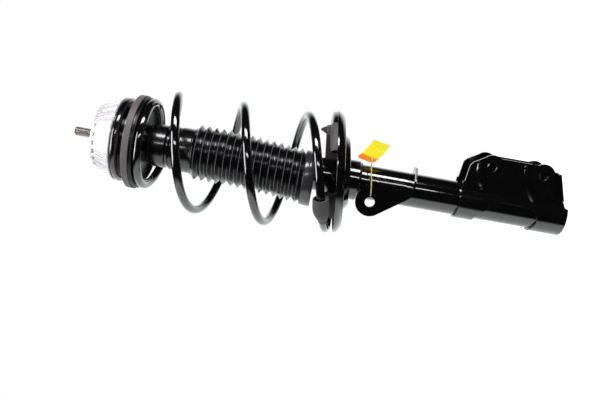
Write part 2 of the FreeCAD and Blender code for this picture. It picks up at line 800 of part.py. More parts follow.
def spring_perch():
    """Pressed dish, tilted against the strut axis, with a lipped rim and a lowered middle."""
    rim, wall = size.perch_radius, size.perch_wall
    floor, step = size.perch_floor, size.perch_step
    middle = size.perch_step_radius
    bore = size.tube_radius / 2.0
    edge = size.edge_break
    body = turned("perch_dish", [
        (bore, -floor - wall - step), (middle, -floor - wall - step),
        (middle + step, -floor - wall), (size.perch_floor_radius - edge * 3.0, -floor - wall, 9.0),
        (rim - edge * 1.5, -edge * 2.0), (rim, 0.0), (rim, size.perch_lip),
        (rim - edge * 2.0, size.perch_lip), (rim - edge * 3.2, 0.0),
        (size.perch_floor_radius, -floor), (middle + step, -floor), (middle, -floor - step),
        (bore, -floor - step)])
    tilted(body)
    return combined("Cut", "perch_bored", body, tube_core("perch_core", size.collar_radius))


def wire_channel(clearance):
    """Tube round the stretch of wire that the cradle holds, wider than it by a clearance."""
    first, last = CRADLE_ANGLE - CRADLE_SPAN, CRADLE_ANGLE + CRADLE_SPAN
    edges = biarc(coil_point(first), coil_direction(first), coil_point(last), coil_direction(last))
    return pipe(Part.Wire(edges), coil_point(first), coil_direction(first),
                WIRE_RADIUS + clearance)


def lower_pad():
    """Rubber pad in the dish: flat seat, inner wall and a cradle round the incoming wire."""
    outer, inner = size.lower_pad_outer_radius, size.lower_pad_inner_radius
    wall, floor = size.lower_pad_wall, size.perch_floor
    body = turned("pad_ring", [
        (inner, -floor), (size.perch_floor_radius - size.edge_break, -floor),
        (outer, -size.edge_break), (outer, 0.0), (inner + wall, 0.0),
        (inner + wall - size.edge_break, size.lower_pad_collar), (inner, size.lower_pad_collar)])
    tilted(body)
    anchor = coil_point(CRADLE_ANGLE)
    along = coil_direction(CRADLE_ANGLE)
    radius, length = DRIVING["cradle_radius"], DRIVING["cradle_length"]
    centre = anchor - Vector(0, 0, DRIVING["cradle_drop"])
    cradle = document.addObject("Part::Cylinder", "pad_cradle")
    cradle.setExpression("Radius", size.cradle_radius.text)
    cradle.setExpression("Height", size.cradle_length.text)
    cradle.Placement = FreeCAD.Placement(centre - along * (length / 2.0),
                                         FreeCAD.Rotation(Vector(0, 0, 1), along))
    foot = document.addObject("Part::Cylinder", "pad_foot")
    foot.setExpression("Radius", size.cradle_foot_radius.text)
    foot.setExpression("Height", size.cradle_foot.text)
    inward = Vector(DRIVING["perch_offset"] - anchor.x, -anchor.y, 0).normalize()
    foot.Placement = FreeCAD.Placement(
        centre + inward * DRIVING["cradle_foot_radius"] - Vector(0, 0, DRIVING["cradle_foot"]),
        FreeCAD.Rotation())
    joined = document.addObject("Part::MultiFuse", "pad_joined")
    joined.Shapes = [body, cradle, foot]
    open_side = document.addObject("Part::Box", "pad_open_side")
    open_side.setExpression("Length", (size.cradle_radius * 3.0).text)
    open_side.setExpression("Width", (size.cradle_radius * 3.0).text)
    open_side.setExpression("Height", size.cradle_radius.text)
    half = radius * 1.5
    open_side.Placement = FreeCAD.Placement(
        anchor + Vector(-half, -half, DRIVING["cradle_lip"]), FreeCAD.Rotation())
    opened = combined("Cut", "pad_opened", joined, open_side)
    channel = computed("pad_channel", wire_channel(SEAT_GAP))
    return combined("Cut", "pad_channelled", opened, channel)


def link_bracket():
    """Welded link bracket: a flat lobe with its hole, a hugging edge and an end flange."""
    body = new_body("link_bracket")
    face = size.tube_radius
    outer = size.tube_radius + size.sheet_thickness
    centre_x, centre_z = -size.link_hole_offset, -size.link_hole_depth
    lobe = size.link_lobe_radius
    end = -size.link_end_depth
    plate = new_sketch(body, "XZ_Plane", face)
    add_outline(plate, [
        (0.5, centre_z + 10.0), (0.5, end + 5.0, -5.5), (-5.0, end + 1.5),
        (-10.5, end + 8.0), (centre_x - lobe * 0.80, centre_z - lobe * 0.60, -lobe),
        (centre_x - lobe * 0.60, centre_z + lobe * 0.80, -lobe),
        (centre_x + lobe * 0.60, centre_z + lobe * 0.80)])
    pad(body, plate, size.sheet_thickness)
    hug = new_sketch(body, "XY_Plane", end + 12.0)
    add_outline(hug, [
        (0.0, -outer, outer), (outer * math.sin(math.radians(24)), -outer * math.cos(math.radians(24))),
        (face * math.sin(math.radians(24)), -face * math.cos(math.radians(24)), -face), (0.0, -face)])
    pad(body, hug, 50.0)
    flange = new_sketch(body, "XY_Plane", end)
    reach = size.link_ear_reach
    bottom_x = face * math.sin(math.radians(-14))
    bottom_y = -face * math.cos(math.radians(-14))
    add_outline(flange, [
        (bottom_x, -outer), (reach - 16.0, -outer), (reach, -14.0), (reach, 0.0),
        (face, 0.0, -face), (bottom_x, bottom_y)])
    pad(body, flange, size.sheet_thickness)
    hole = new_sketch(body, "XZ_Plane")
    add_circle(hole, centre_x, centre_z, size.link_hole_radius)
    pocket(body, hole)
    return body


def knuckle_bracket():
    """Clevis for the knuckle: a strap round the tube whose ends are two parallel flanges."""
    body = new_body("knuckle_strap")
    top, bottom = -size.knuckle_top_depth, -size.knuckle_bottom_depth
    face = size.tube_radius
    outer = size.tube_radius + size.sheet_thickness
    near, far = size.knuckle_gap / 2.0, size.knuckle_gap / 2.0 + size.sheet_thickness
    reach = size.knuckle_hole_offset + size.knuckle_ear_radius + 1.0
    inner_turn = math.asin(near.number / face.number)
    outer_turn = math.asin(far.number / outer.number)
    inner_x, outer_x = face * math.cos(inner_turn), outer * math.cos(outer_turn)
    section = new_sketch(body, "XY_Plane", bottom)
    add_outline(section, [
        (reach, far), (outer_x, far, outer), (-outer, 0.0, outer), (outer_x, -far), (reach, -far),
        (reach, -near), (inner_x, -near, -face), (-face, 0.0, -face), (inner_x, near), (reach, near)])
    pad(body, section, top - bottom)
    ear, hole_x = size.knuckle_ear_radius, size.knuckle_hole_offset
    upper, lower = -size.knuckle_upper_hole_depth, -size.knuckle_lower_hole_depth
    edge, beyond = size.knuckle_edge_offset, reach + 6.0
    step = math.sqrt(ear.number ** 2 - (edge.number - hole_x.number) ** 2)
    outline = new_sketch(body, "XZ_Plane")
    add_outline(outline, [
        (beyond, top + 3.0), (26.0, top + 3.0), (27.0, top - 2.0), (48.5, top - 4.5), (53.0, top - 8.0),
        (hole_x + ear * 0.7071, upper + ear * 0.7071, -ear), (edge, upper - step),
        (edge, lower + step, -ear), (hole_x + ear * 0.5, lower - ear * 0.866),
        (57.0, lower - 19.5), (23.5, lower - 31.0), (14.0, bottom + 3.0), (13.0, bottom - 3.0),
        (beyond, bottom - 3.0)])
    pocket(body, outline)
    window = new_sketch(body, "XZ_Plane")
    add_outline(window, [
        (-outer - 2.0, top - 23.5), (-18.0, top - 25.0), (3.5, top - 43.5, 6.0), (7.0, top - 49.0),
        (7.0, lower + 8.0, 7.0), (4.5, lower + 2.0), (-6.0, lower - 4.0, 6.0), (-10.0, lower - 5.0),
        (-outer - 2.0, lower - 1.0)])
    pocket(body, window)
    holes = new_sketch(body, "XZ_Plane")
    add_circle(holes, hole_x, upper, size.knuckle_hole_radius)
    add_circle(holes, hole_x, lower, size.knuckle_hole_radius)
    pocket(body, holes)
    pieces = [body]
    for side in (-1.0, 1.0):
        for ends in BEAD_ENDS:
            pieces += bead([Vector(x, side * BEAD_DEPTH, z) for x, z in ends])
        pieces.append(lip(side))
    joined = document.addObject("Part::MultiFuse", "knuckle_joined")
    joined.Shapes = pieces
    core = tube_core("knuckle_core", size.tube_radius)
    return combined("Cut", "knuckle_fitted", joined, core)


BEAD_DEPTH = 19.2
BEAD_ENDS = [((22.0, -504.8), (55.0, -494.6)), ((13.0, -574.8), (58.0, -554.2))]
LIP_ENDS = ((57.0, -598.5), (23.5, -610.0))


def bead(ends):
    """Pressed bead on a flange: a half-round ridge with ball ends."""
    start, end = ends
    bar = document.addObject("Part::Cylinder", "bead_bar")
    bar.setExpression("Radius", size.bead_radius.text)
    bar.Height = (end - start).Length
    bar.Placement = FreeCAD.Placement(start, FreeCAD.Rotation(Vector(0, 0, 1), end - start))
    pieces = [bar]
    for place in ends:
        ball = document.addObject("Part::Sphere", "bead_end")
        ball.setExpression("Radius", size.bead_radius.text)
        ball.Placement = FreeCAD.Placement(place, FreeCAD.Rotation())
        pieces.append(ball)
    return pieces


def lip(side):
    """Lip turned outwards along the slanted lower edge of a flange."""
    (x_high, z_high), (x_low, z_low) = LIP_ENDS
    along = Vector(x_high - x_low, 0, z_high - z_low)
    box = document.addObject("Part::Box", "flange_lip")
    box.Length = along.Length
    box.setExpression("Width", size.lip_reach.text)
    box.setExpression("Height", size.sheet_thickness.text)
    near = DRIVING["knuckle_gap"] / 2.0
    start_y = near if side > 0 else -near - DRIVING["lip_reach"]
    box.Placement = FreeCAD.Placement(Vector(x_low, start_y, z_low),
                                      FreeCAD.Rotation(Vector(1, 0, 0), along))
    return box


def tag_label():
    """Plain card tag with a hole near the end that the string holds."""
    body = new_body("tag_card")
    half = size.label_width / 2.0
    sketch = new_sketch(body, "XZ_Plane")
    add_outline(sketch, [(-half, 0.0), (half, 0.0), (half, size.label_length),
                         (-half, size.label_length)])
    add_circle(sketch, 0.0, size.label_hole_inset, size.string_radius + size.thread_gap)
    pad(body, sketch, size.label_thickness)
    lean = FreeCAD.Rotation(Vector(0, 1, 0), DRIVING["label_lean"])
    body.Placement = FreeCAD.Placement(Vector(*LABEL_PLACE), lean)
    return body


LABEL_PLACE = (31.8, -16.0, -357.0)

# Route of the string, from beside the link bracket's hole over the tube to the card.
STRING_ROUTE = [(-13.0, -26.4, -365.4), (-4.0, -29.4, -364.2), (8.0, -30.0, -362.2),
                (18.0, -27.6, -360.2), (28.0, -26.0, -358.9), (34.0, -21.0, -358.4),
                (34.0, -15.0, -358.4)]


def tag_string():
    """String as a tube on straight runs joined by tangent arcs."""
    corners = [Vector(*corner) for corner in STRING_ROUTE]
    edges = []
    here = corners[0]
    radii = []
    for before, corner, after in zip(corners[:-2], corners[1:-1], corners[2:]):
        coming, going = (corner - before), (after - corner)
        shorter = min(coming.Length, going.Length)
        coming.normalize()
        going.normalize()
        turn = math.acos(min(max(coming.dot(going), -1.0), 1.0))
        cut = 0.45 * shorter
        radii.append(cut / math.tan(turn / 2.0))
        arc_start, arc_end = corner - coming * cut, corner + going * cut
        edges.append(Part.LineSegment(here, arc_start).toShape())
        edges.append(arc_from(arc_start, coming, arc_end))
        here = arc_end
    edges.append(Part.LineSegment(here, corners[-1]).toShape())
    path = Part.Wire(edges)
    start = corners[1] - corners[0]
    solid = pipe(path, corners[0], start, DRIVING["string_radius"])
    section = math.pi * DRIVING["string_radius"] ** 2
    print("string radii", " ".join("%.1f" % radius for radius in radii))
    print("string length %.1f mm, volume over section times length %.4f"
          % (path.Length, solid.Volume / (section * path.Length)))
    return computed("string_tube", solid)


SUB_PARTS = {
    "mount_cone": mount_cone, "mount_rubber": mount_rubber, "mount_sleeve": mount_sleeve,
    "nut_washer": nut_washer, "rod_nut": rod_nut, "piston_rod": piston_rod,
    "bearing_cover": bearing_cover, "bump_cup": bump_cup, "bump_stop": bump_stop,
    "upper_race": upper_race, "lower_race": lower_race, "bearing_cage": bearing_cage,
    "bearing_balls": bearing_balls, "upper_seat": upper_seat,
    "upper_spring_pad": upper_spring_pad, "coil_spring": coil_spring, "dust_boot": dust_boot,
    "gland_cap": gland_cap, "rod_seal": rod_seal, "rod_guide": rod_guide,
    "inner_cylinder": inner_cylinder, "base_valve": base_valve, "piston": piston,
    "piston_band": piston_band, "valve_discs": valve_discs, "piston_nut": piston_nut,
    "rebound_stop": rebound_stop, "strut_tube": strut_tube, "end_cap": end_cap,
    "perch_collar": perch_collar, "spring_perch": spring_perch, "lower_pad": lower_pad,
    "link_bracket": link_bracket, "knuckle_bracket": knuckle_bracket, "tag_label": tag_label,
    "tag_string": tag_string,
}


def main():
    """Build every sub-part, check the document and write one file for each."""
    finished = []
    for label, build in SUB_PARTS.items():
        item = build()
        item.Label = label
        finished.append(item)
    document.recompute()
    failed = [item.Name for item in document.Objects
              if "Invalid" in item.State or "Error" in item.State]
    failed += [item.Label for item in finished if item.Shape.isNull() or not item.Shape.isValid()]
    failed += [item.Label for item, label in zip(finished, SUB_PARTS) if item.Label != label]
    if failed:
        raise RuntimeError("these objects failed: %s" % ", ".join(failed))
    os.makedirs("parts", exist_ok=True)
    for item in finished:
        item.Shape.exportStep("parts/%s.step" % item.Label)
        box = item.Shape.optimalBoundingBox(False)
        print("%-18s %2d solids %9.0f mm3  x %.1f to %.1f  y %.1f to %.1f  z %.1f to %.1f"
              % (item.Label, len(item.Shape.Solids), item.Shape.Volume, box.XMin, box.XMax,
                 box.YMin, box.YMax, box.ZMin, box.ZMax))


main()
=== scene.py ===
"""Looks of a suspension strut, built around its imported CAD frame.

Lengths in the classes are millimetres in the CAD frame, where +Z runs up the strut axis and the
origin lies at the top face of the mount cone. Meshes are written in metres.
"""

import logging
from dataclasses import dataclass, field
from enum import Enum
from functools import cache

import bmesh
import bpy
import numpy as np
from mathutils import Matrix


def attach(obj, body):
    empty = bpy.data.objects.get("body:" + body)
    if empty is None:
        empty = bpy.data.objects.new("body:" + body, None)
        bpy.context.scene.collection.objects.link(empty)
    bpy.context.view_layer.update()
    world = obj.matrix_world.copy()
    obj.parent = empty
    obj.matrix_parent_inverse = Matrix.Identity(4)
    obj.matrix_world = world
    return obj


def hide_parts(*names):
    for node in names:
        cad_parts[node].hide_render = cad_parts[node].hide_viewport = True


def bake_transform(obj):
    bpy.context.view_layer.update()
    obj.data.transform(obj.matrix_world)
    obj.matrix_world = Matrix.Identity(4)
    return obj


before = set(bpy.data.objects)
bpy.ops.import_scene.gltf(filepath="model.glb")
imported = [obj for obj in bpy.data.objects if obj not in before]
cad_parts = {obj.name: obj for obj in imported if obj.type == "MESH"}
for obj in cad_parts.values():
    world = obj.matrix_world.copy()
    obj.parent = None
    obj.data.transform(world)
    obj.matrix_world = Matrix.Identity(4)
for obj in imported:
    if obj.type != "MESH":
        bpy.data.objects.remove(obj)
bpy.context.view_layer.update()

logging.basicConfig(level=logging.INFO, format="%(message)s")
log = logging.getLogger("strut")

MM = 0.001
FULL_TURN = 2.0 * np.pi
COAT_ROUGHNESS = 0.05
SLOW_NOISE_SCALE = 55.0
BUMP_SHARE = 0.3
Array = np.ndarray
SceneObject = bpy.types.Object


def feed(node: bpy.types.Node, inputs: dict[str | int, object]) -> bpy.types.Node:
    """Give each named input of a node its value, or link it to the output given for it."""
    for name, value in inputs.items():
        if isinstance(value, bpy.types.NodeSocket):
            node.id_data.links.new(value, node.inputs[name])
        else:
            node.inputs[name].default_value = value
    return node


def add_node(tree: bpy.types.NodeTree, kind: str, inputs: dict[str | int, object],
             **settings: object) -> bpy.types.Node:
    """Add a shader node.

    Args:
        tree: The node tree.
        kind: Type of the node, without its ShaderNode prefix.
        inputs: For each input, its value or the output that is linked to it.
        settings: Attributes of the node, set before its inputs.

    Returns:
        The node.
    """
    node = tree.nodes.new("ShaderNode" + kind)
    for name, value in settings.items():
        setattr(node, name, value)
    return feed(node, inputs)


def node_material(name: str) -> tuple[bpy.types.Material, bpy.types.NodeTree]:
    """Make a material with nodes, and return it with its tree."""
    material = bpy.data.materials.new(name)
    material.use_nodes = True
    return material, material.node_tree


class Grain(Enum):
    """Kinds of fine relief: stretch of the noise along Z, its detail and the bump strength."""

    PAINT = (1.0, 1.0, 0.04)
    CAST = (1.0, 6.0, 0.35)
    MOULDED = (1.0, 3.0, 0.15)
    BRUSHED = (12.0, 2.0, 0.08)
    WOVEN = (3.0, 4.0, 0.5)


@dataclass(frozen=True)
class Finish:
    """A finish of one kind of surface, as a procedural material.

    tone is the share by which the colour varies over the surface, spread is how far the
    roughness varies, and grain_size and edge_radius are in millimetres. Where line_attribute
    is set, that point attribute fades the colour to line_colour.
    """

    name: str
    colour: tuple[float, float, float]
    roughness: float
    metallic: float = 0.0
    grain: Grain = Grain.PAINT
    grain_size: float = 2.0
    tone: float = 0.15
    spread: float = 0.08
    coat: float = 0.0
    line_attribute: str = ""
    line_colour: tuple[float, float, float] = (0.3, 0.3, 0.3)
    edge_radius: float = 0.0
    specular: float = 0.5

    @cache
    def build(self) -> bpy.types.Material:
        """Make the material, once.

        Returns:
            The node material: colour and roughness vary with slow noise, and a finer noise
            lifts the surface.
        """
        material, tree = node_material(self.name)
        place = add_node(tree, "TexCoord", {}).outputs["Object"]
        slow = add_node(tree, "TexNoise", {"Scale": SLOW_NOISE_SCALE, "Detail": 4.0,
                                           "Vector": place}).outputs["Fac"]
        colour = add_node(tree, "Mix", {"A": self._shade(1.0 - self.tone),
                                        "B": self._shade(1.0 + self.tone),
                                        "Factor": slow}, data_type="RGBA")
        if self.line_attribute:
            lines = add_node(tree, "Attribute", {}, attribute_name=self.line_attribute)
            colour = add_node(tree, "Mix", {"A": colour.outputs["Result"],
                                            "B": (*self.line_colour, 1.0),
                                            "Factor": lines.outputs["Fac"]}, data_type="RGBA")
        rough = add_node(tree, "MapRange", {"To Min": max(self.roughness - self.spread, 0.02),
                                            "To Max": min(self.roughness + self.spread, 1.0),
                                            "Value": slow})
        feed(tree.nodes["Principled BSDF"], {
            "Base Color": colour.outputs["Result"], "Roughness": rough.outputs["Result"],
            "Normal": self._relief(tree, place), "Metallic": self.metallic,
            "Coat Weight": self.coat, "Coat Roughness": COAT_ROUGHNESS,
            "Specular IOR Level": self.specular})
        return material

    def _shade(self, factor: float) -> tuple[float, ...]:
        """Return the colour times a factor, with its alpha."""
        return (*(min(value * factor, 1.0) for value in self.colour), 1.0)

    def _relief(self, tree: bpy.types.NodeTree,
                place: bpy.types.NodeSocket) -> bpy.types.NodeSocket:
        """Add the fine noise, stretched as its kind of grain asks, and the rounded edges.

        Args:
            tree: Node tree of the material.
            place: Output with the Object coordinates.

        Returns:
            The output with the lifted normal.
        """
        stretch, detail, strength = self.grain.value
        mapping = add_node(tree, "Mapping", {"Scale": (1.0, 1.0, 1.0 / stretch),
                                             "Vector": place})
        fine = add_node(tree, "TexNoise", {"Scale": 1.0 / (self.grain_size * MM),
                                           "Detail": detail,
                                           "Vector": mapping.outputs["Vector"]})
        inputs = {"Strength": strength, "Height": fine.outputs["Fac"],
                  "Distance": self.grain_size * MM * BUMP_SHARE}
        if self.edge_radius > 0.0:
            edges = add_node(tree, "Bevel", {"Radius": self.edge_radius * MM}, samples=4)
            inputs["Normal"] = edges.outputs["Normal"]
        return add_node(tree, "Bump", inputs).outputs["Normal"]


CAST_ALUMINIUM = Finish("cast_aluminium", (0.86, 0.84, 0.88), 0.42, 0.35, Grain.CAST, 0.5, 0.03)
GLOSSY_RUBBER = Finish("glossy_rubber", (0.003, 0.003, 0.004), 0.16, 0.0, Grain.MOULDED, 3.0, 0.3,
                       0.05, 1.0, "edge", (0.48, 0.48, 0.50), specular=0.8)
PLATED_STEEL = Finish("plated_steel", (0.50, 0.47, 0.44), 0.30, 1.0, Grain.BRUSHED, 0.6, 0.12)
ROD_STEEL = Finish("rod_steel", (0.42, 0.37, 0.35), 0.28, 1.0, Grain.BRUSHED, 0.5, 0.12)
COVER_PLASTIC = Finish("cover_plastic", (0.150, 0.128, 0.132), 0.50, 0.0, Grain.MOULDED, 0.7, 0.08)
SEAT_PAINT = Finish("seat_paint", (0.003, 0.003, 0.004), 0.25, 0.0, Grain.PAINT, 3.0, 0.2)
PAD_RUBBER = Finish("pad_rubber", (0.004, 0.004, 0.005), 0.40, 0.0, Grain.MOULDED, 1.0, 0.2)
# Plain grey rubber of the pad and of the rubber round the wire's ends. Its dark line attribute is
# painted shade that darkens the near side of the pad.
GREY_RUBBER = Finish("grey_rubber", (0.090, 0.078, 0.084), 0.55, 0.0, Grain.MOULDED, 0.8, 0.15,
                      line_attribute="dark", line_colour=(0.006, 0.006, 0.007))
SPRING_PAINT = Finish("spring_paint", (0.003, 0.002, 0.003), 0.10, 0.0, Grain.PAINT, 6.0, 0.2, 0.04,
                      1.0, specular=1.0)
# Its crest attribute is painted highlight on the boot's crests, the outside of its cuff and the top
# of its collar.
BOOT_RUBBER = Finish("boot_rubber", (0.003, 0.003, 0.004), 0.22, 0.0, Grain.MOULDED, 1.5, 0.3,
                     0.05, 0.5, "crest", (0.22, 0.20, 0.23), specular=0.8)
BUMPER_FOAM = Finish("bumper_foam", (0.60, 0.53, 0.28), 0.85, 0.0, Grain.MOULDED, 0.5, 0.1)
TUBE_PAINT = Finish("tube_paint", (0.002, 0.002, 0.002), 0.10, 0.0, Grain.PAINT, 6.0, 0.2, 0.04,
                    1.0, edge_radius=0.5, specular=1.0)
PERCH_PAINT = Finish("perch_paint", (0.002, 0.002, 0.002), 0.12, 0.0, Grain.PAINT, 5.0, 0.2, 0.04,
                     1.0, specular=1.0)
BRACKET_PAINT = Finish("bracket_paint", (0.002, 0.002, 0.002), 0.12, 0.0, Grain.PAINT, 5.0, 0.2,
                       0.04, 1.0, edge_radius=0.7, specular=1.0)
WELD_PAINT = Finish("weld_paint", (0.004, 0.004, 0.004), 0.18, 0.0, Grain.PAINT, 1.2, 0.2)
TURNED_STEEL = Finish("turned_steel", (0.48, 0.48, 0.48), 0.35, 1.0, Grain.BRUSHED, 0.6, 0.1)
BALL_STEEL = Finish("ball_steel", (0.75, 0.75, 0.77), 0.10, 1.0, Grain.PAINT, 2.0, 0.03)
CAGE_PLASTIC = Finish("cage_plastic", (0.65, 0.60, 0.48), 0.50, 0.0, Grain.MOULDED, 0.6, 0.06)
BAND_PLASTIC = Finish("band_plastic", (0.24, 0.16, 0.09), 0.45, 0.0, Grain.MOULDED, 0.6, 0.12)
CARD_YELLOW = Finish("card_yellow", (0.98, 0.86, 0.005), 0.60, 0.0, Grain.MOULDED, 1.0, 0.03,
                     line_attribute="warm", line_colour=(0.95, 0.24, 0.0))
STRING_FIBRE = Finish("string_fibre", (0.85, 0.72, 0.28), 0.75, 0.0, Grain.WOVEN, 0.4, 0.15)

CAD_FINISHES: dict[Finish, tuple[str, ...]] = {
    PLATED_STEEL: ("mount_sleeve", "nut_washer", "rod_nut", "bump_cup", "gland_cap",
                   "piston_nut"),
    TURNED_STEEL: ("upper_race", "lower_race", "rod_guide", "inner_cylinder", "base_valve",
                   "piston", "valve_discs", "rebound_stop"),
    BALL_STEEL: ("bearing_balls",), CAGE_PLASTIC: ("bearing_cage",),
    BAND_PLASTIC: ("piston_band",), COVER_PLASTIC: ("bearing_cover",),
    SEAT_PAINT: ("upper_seat",), TUBE_PAINT: ("strut_tube", "end_cap"),
    PERCH_PAINT: ("perch_collar",), BRACKET_PAINT: ("link_bracket", "knuckle_bracket"),
}


def surface_mesh(name: str, points: Array, wrap_rows: bool = True, wrap_columns: bool = True,
                 sharp: float = 40.0, marks: dict[str, Array] | None = None) -> SceneObject:
    """Make a mesh of quads over a grid of points.

    Each quad joins point (i, j) with its neighbours (i + 1, j) and (i, j + 1), and a wrapped
    direction joins its last row to its first. Doubled points are merged, so a ring of no
    radius closes to a pole, and then the faces are turned outwards.

    Args:
        name: Name of the object.
        points: Grid of points in millimetres, of shape (rows, columns, 3).
        wrap_rows: Whether the last row joins the first.
        wrap_columns: Whether the last column joins the first.
        sharp: Angle in degrees past which an edge is drawn sharp.
        marks: Point attributes by name, each of shape (rows, columns) or one that
            broadcasts to it.

    Returns:
        The new object, at the origin.
    """
    rows, columns = points.shape[:2]
    i = np.arange(rows if wrap_rows else rows - 1)[:, None]
    j = np.arange(columns if wrap_columns else columns - 1)[None]
    corners = ((i, j), (i, j + 1), (i + 1, j + 1), (i + 1, j))
    quads = np.stack([row % rows * columns + column % columns for row, column in corners],
                     axis=-1).reshape(-1, 4)
    mesh = bpy.data.meshes.new(name)
    mesh.from_pydata((points.reshape(-1, 3) * MM).tolist(), [], quads.tolist())
    for mark, values in (marks or {}).items():
        layer = mesh.attributes.new(mark, "FLOAT", "POINT")
        spread = np.broadcast_to(values, (rows, columns))
        layer.data.foreach_set("value", spread.astype(np.float32).ravel())
    work = bmesh.new()
    work.from_mesh(mesh)
    bmesh.ops.remove_doubles(work, verts=work.verts, dist=1e-7)
    bmesh.ops.dissolve_degenerate(work, edges=work.edges, dist=1e-8)
    bmesh.ops.recalc_face_normals(work, faces=work.faces)
    work.to_mesh(mesh)
    work.free()
    mesh.shade_smooth()
    mesh.set_sharp_from_angle(angle=np.radians(sharp))
    return linked(name, mesh)


def linked(name: str, data: bpy.types.ID) -> SceneObject:
    """Make an object of its data and link it to the scene."""
    made = bpy.data.objects.new(name, data)
    bpy.context.scene.collection.objects.link(made)
    return made


def stand(made: SceneObject, axes: list[Array], place: Array) -> None:
    """Turn an object's axes to three unit vectors and put it at a place in millimetres."""
    matrix = np.eye(4)
    matrix[:3, :3] = np.stack(axes, axis=-1)
    matrix[:3, 3] = place * MM
    made.matrix_world = Matrix(matrix.tolist())


def turned_points(profile: Array, segments: int) -> Array:
    """Turn a profile about the Z axis.

    A point at radius r and height h goes to (r cos t, r sin t, h) for each of the evenly
    spaced angles t.

    Args:
        profile: Radius and height pairs, of shape (points, 2).
        segments: Number of angles.

    Returns:
        Grid of points, of shape (points, segments, 3).
    """
    angles = np.linspace(0.0, FULL_TURN, segments, endpoint=False)
    radius, height = profile[:, :1], profile[:, 1:]
    ones = np.ones_like(angles)
    return np.stack([radius * np.cos(angles), radius * np.sin(angles), height * ones], axis=-1)


def rounded(profile: Array, radius: float, steps: int = 5, closed: bool = True) -> Array:
    """Round the corners of a profile.

    Each corner is replaced by points on a quadratic curve whose ends lie on its two edges, at
    the given distance from it or at 0.45 of the shorter edge, and whose middle pulls to the
    corner.

    Args:
        profile: Corners, of shape (points, 2).
        radius: Distance from the corner at which the curve starts.
        steps: Points on each curve.
        closed: Whether the last corner joins the first.

    Returns:
        The rounded profile.
    """
    before, after = np.roll(profile, 1, axis=0), np.roll(profile, -1, axis=0)
    reach_in = np.linalg.norm(before - profile, axis=1, keepdims=True)
    reach_out = np.linalg.norm(after - profile, axis=1, keepdims=True)
    cut = np.minimum(np.minimum(reach_in, reach_out) * 0.45, radius)
    first = profile + (before - profile) / np.maximum(reach_in, 1e-9) * cut
    last = profile + (after - profile) / np.maximum(reach_out, 1e-9) * cut
    share = np.linspace(0.0, 1.0, steps)[None, :, None]
    curve = (first[:, None] * (1 - share) ** 2 + profile[:, None] * 2 * share * (1 - share)
             + last[:, None] * share ** 2)
    if not closed:
        curve[0], curve[-1] = profile[0], profile[-1]
    return curve.reshape(-1, 2)


def swept_points(path: Array, across: Array, up: Array, section: Array) -> Array:
    """Carry a section along a path.

    A section point (a, b) at a station goes to the station's path point plus a times its
    across vector plus b times its up vector.

    Args:
        path: Stations, of shape (stations, 3).
        across: Unit vectors, of shape (stations, 3).
        up: Unit vectors, of shape (stations, 3).
        section: Points of the section, of shape (points, 2) or (stations, points, 2).

    Returns:
        Grid of points, of shape (stations, points, 3).
    """
    section = np.broadcast_to(section, (len(path), *section.shape[-2:]))
    return path[:, None] + section[..., :1] * across[:, None] + section[..., 1:] * up[:, None]


def upright(ahead: Array) -> tuple[Array, Array]:
    """Return the level unit vectors across some directions, and those square to both."""
    across = unit(np.cross(ahead, np.array([0.0, 0.0, 1.0])))
    return across, np.cross(across, ahead)


def circle(radius: float, count: int) -> Array:
    """Return points of a circle, of shape (count, 2)."""
    angles = np.linspace(0.0, FULL_TURN, count, endpoint=False)
    return radius * np.stack([np.cos(angles), np.sin(angles)], axis=-1)


def unit(vectors: Array) -> Array:
    """Return the vectors of a (count, 3) array at length one."""
    return vectors / np.linalg.norm(vectors, axis=-1, keepdims=True)


def capped(points: Array) -> Array:
    """Close both ends of a swept grid with poles at the middle of the end sections."""
    first = np.broadcast_to(points[0].mean(axis=0), points[0].shape)
    last = np.broadcast_to(points[-1].mean(axis=0), points[-1].shape)
    return np.concatenate([first[None], points, last[None]])


def smooth_step(value: Array, start: float, end: float) -> Array:
    """Return 0 before start, 1 after end, and 3 s^2 - 2 s^3 of the share s between."""
    share = np.clip((value - start) / (end - start), 0.0, 1.0)
    return share * share * (3.0 - 2.0 * share)


def dress(piece: SceneObject, finish: Finish, body: str = "",
          replaced: tuple[str, ...] = ()) -> SceneObject:
    """Give a piece its material, its body and the nodes it stands for.

    Args:
        piece: The object.
        finish: Its finish.
        body: CAD body that it rides on, or empty for a piece that blends.
        replaced: CAD nodes that it replaces.

    Returns:
        The same object.
    """
    piece.data.materials.clear()
    piece.data.materials.append(finish.build())
    if body:
        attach(piece, body)
    for node in replaced:
        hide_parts(node)
    log.info("piece %s: %d faces", piece.name, len(piece.data.polygons))
    return piece


def blend_over_stroke(piece: SceneObject) -> None:
    """Read a piece's share attribute, which no later step uses, and bake its placement into its
    mesh.

    Args:
        piece: The object.
    """
    weights = np.zeros(len(piece.data.vertices), np.float32)
    piece.data.attributes["share"].data.foreach_get("value", weights)
    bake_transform(piece)


def dress_cad_nodes() -> None:
    """Put the finish of each CAD node that stays in view on its object."""
    for finish, nodes in CAD_FINISHES.items():
        for shown in (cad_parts[node] for node in nodes):
            if not shown.material_slots:
                shown.data.materials.append(finish.build())
            for slot in shown.material_slots:
                slot.material = finish.build()


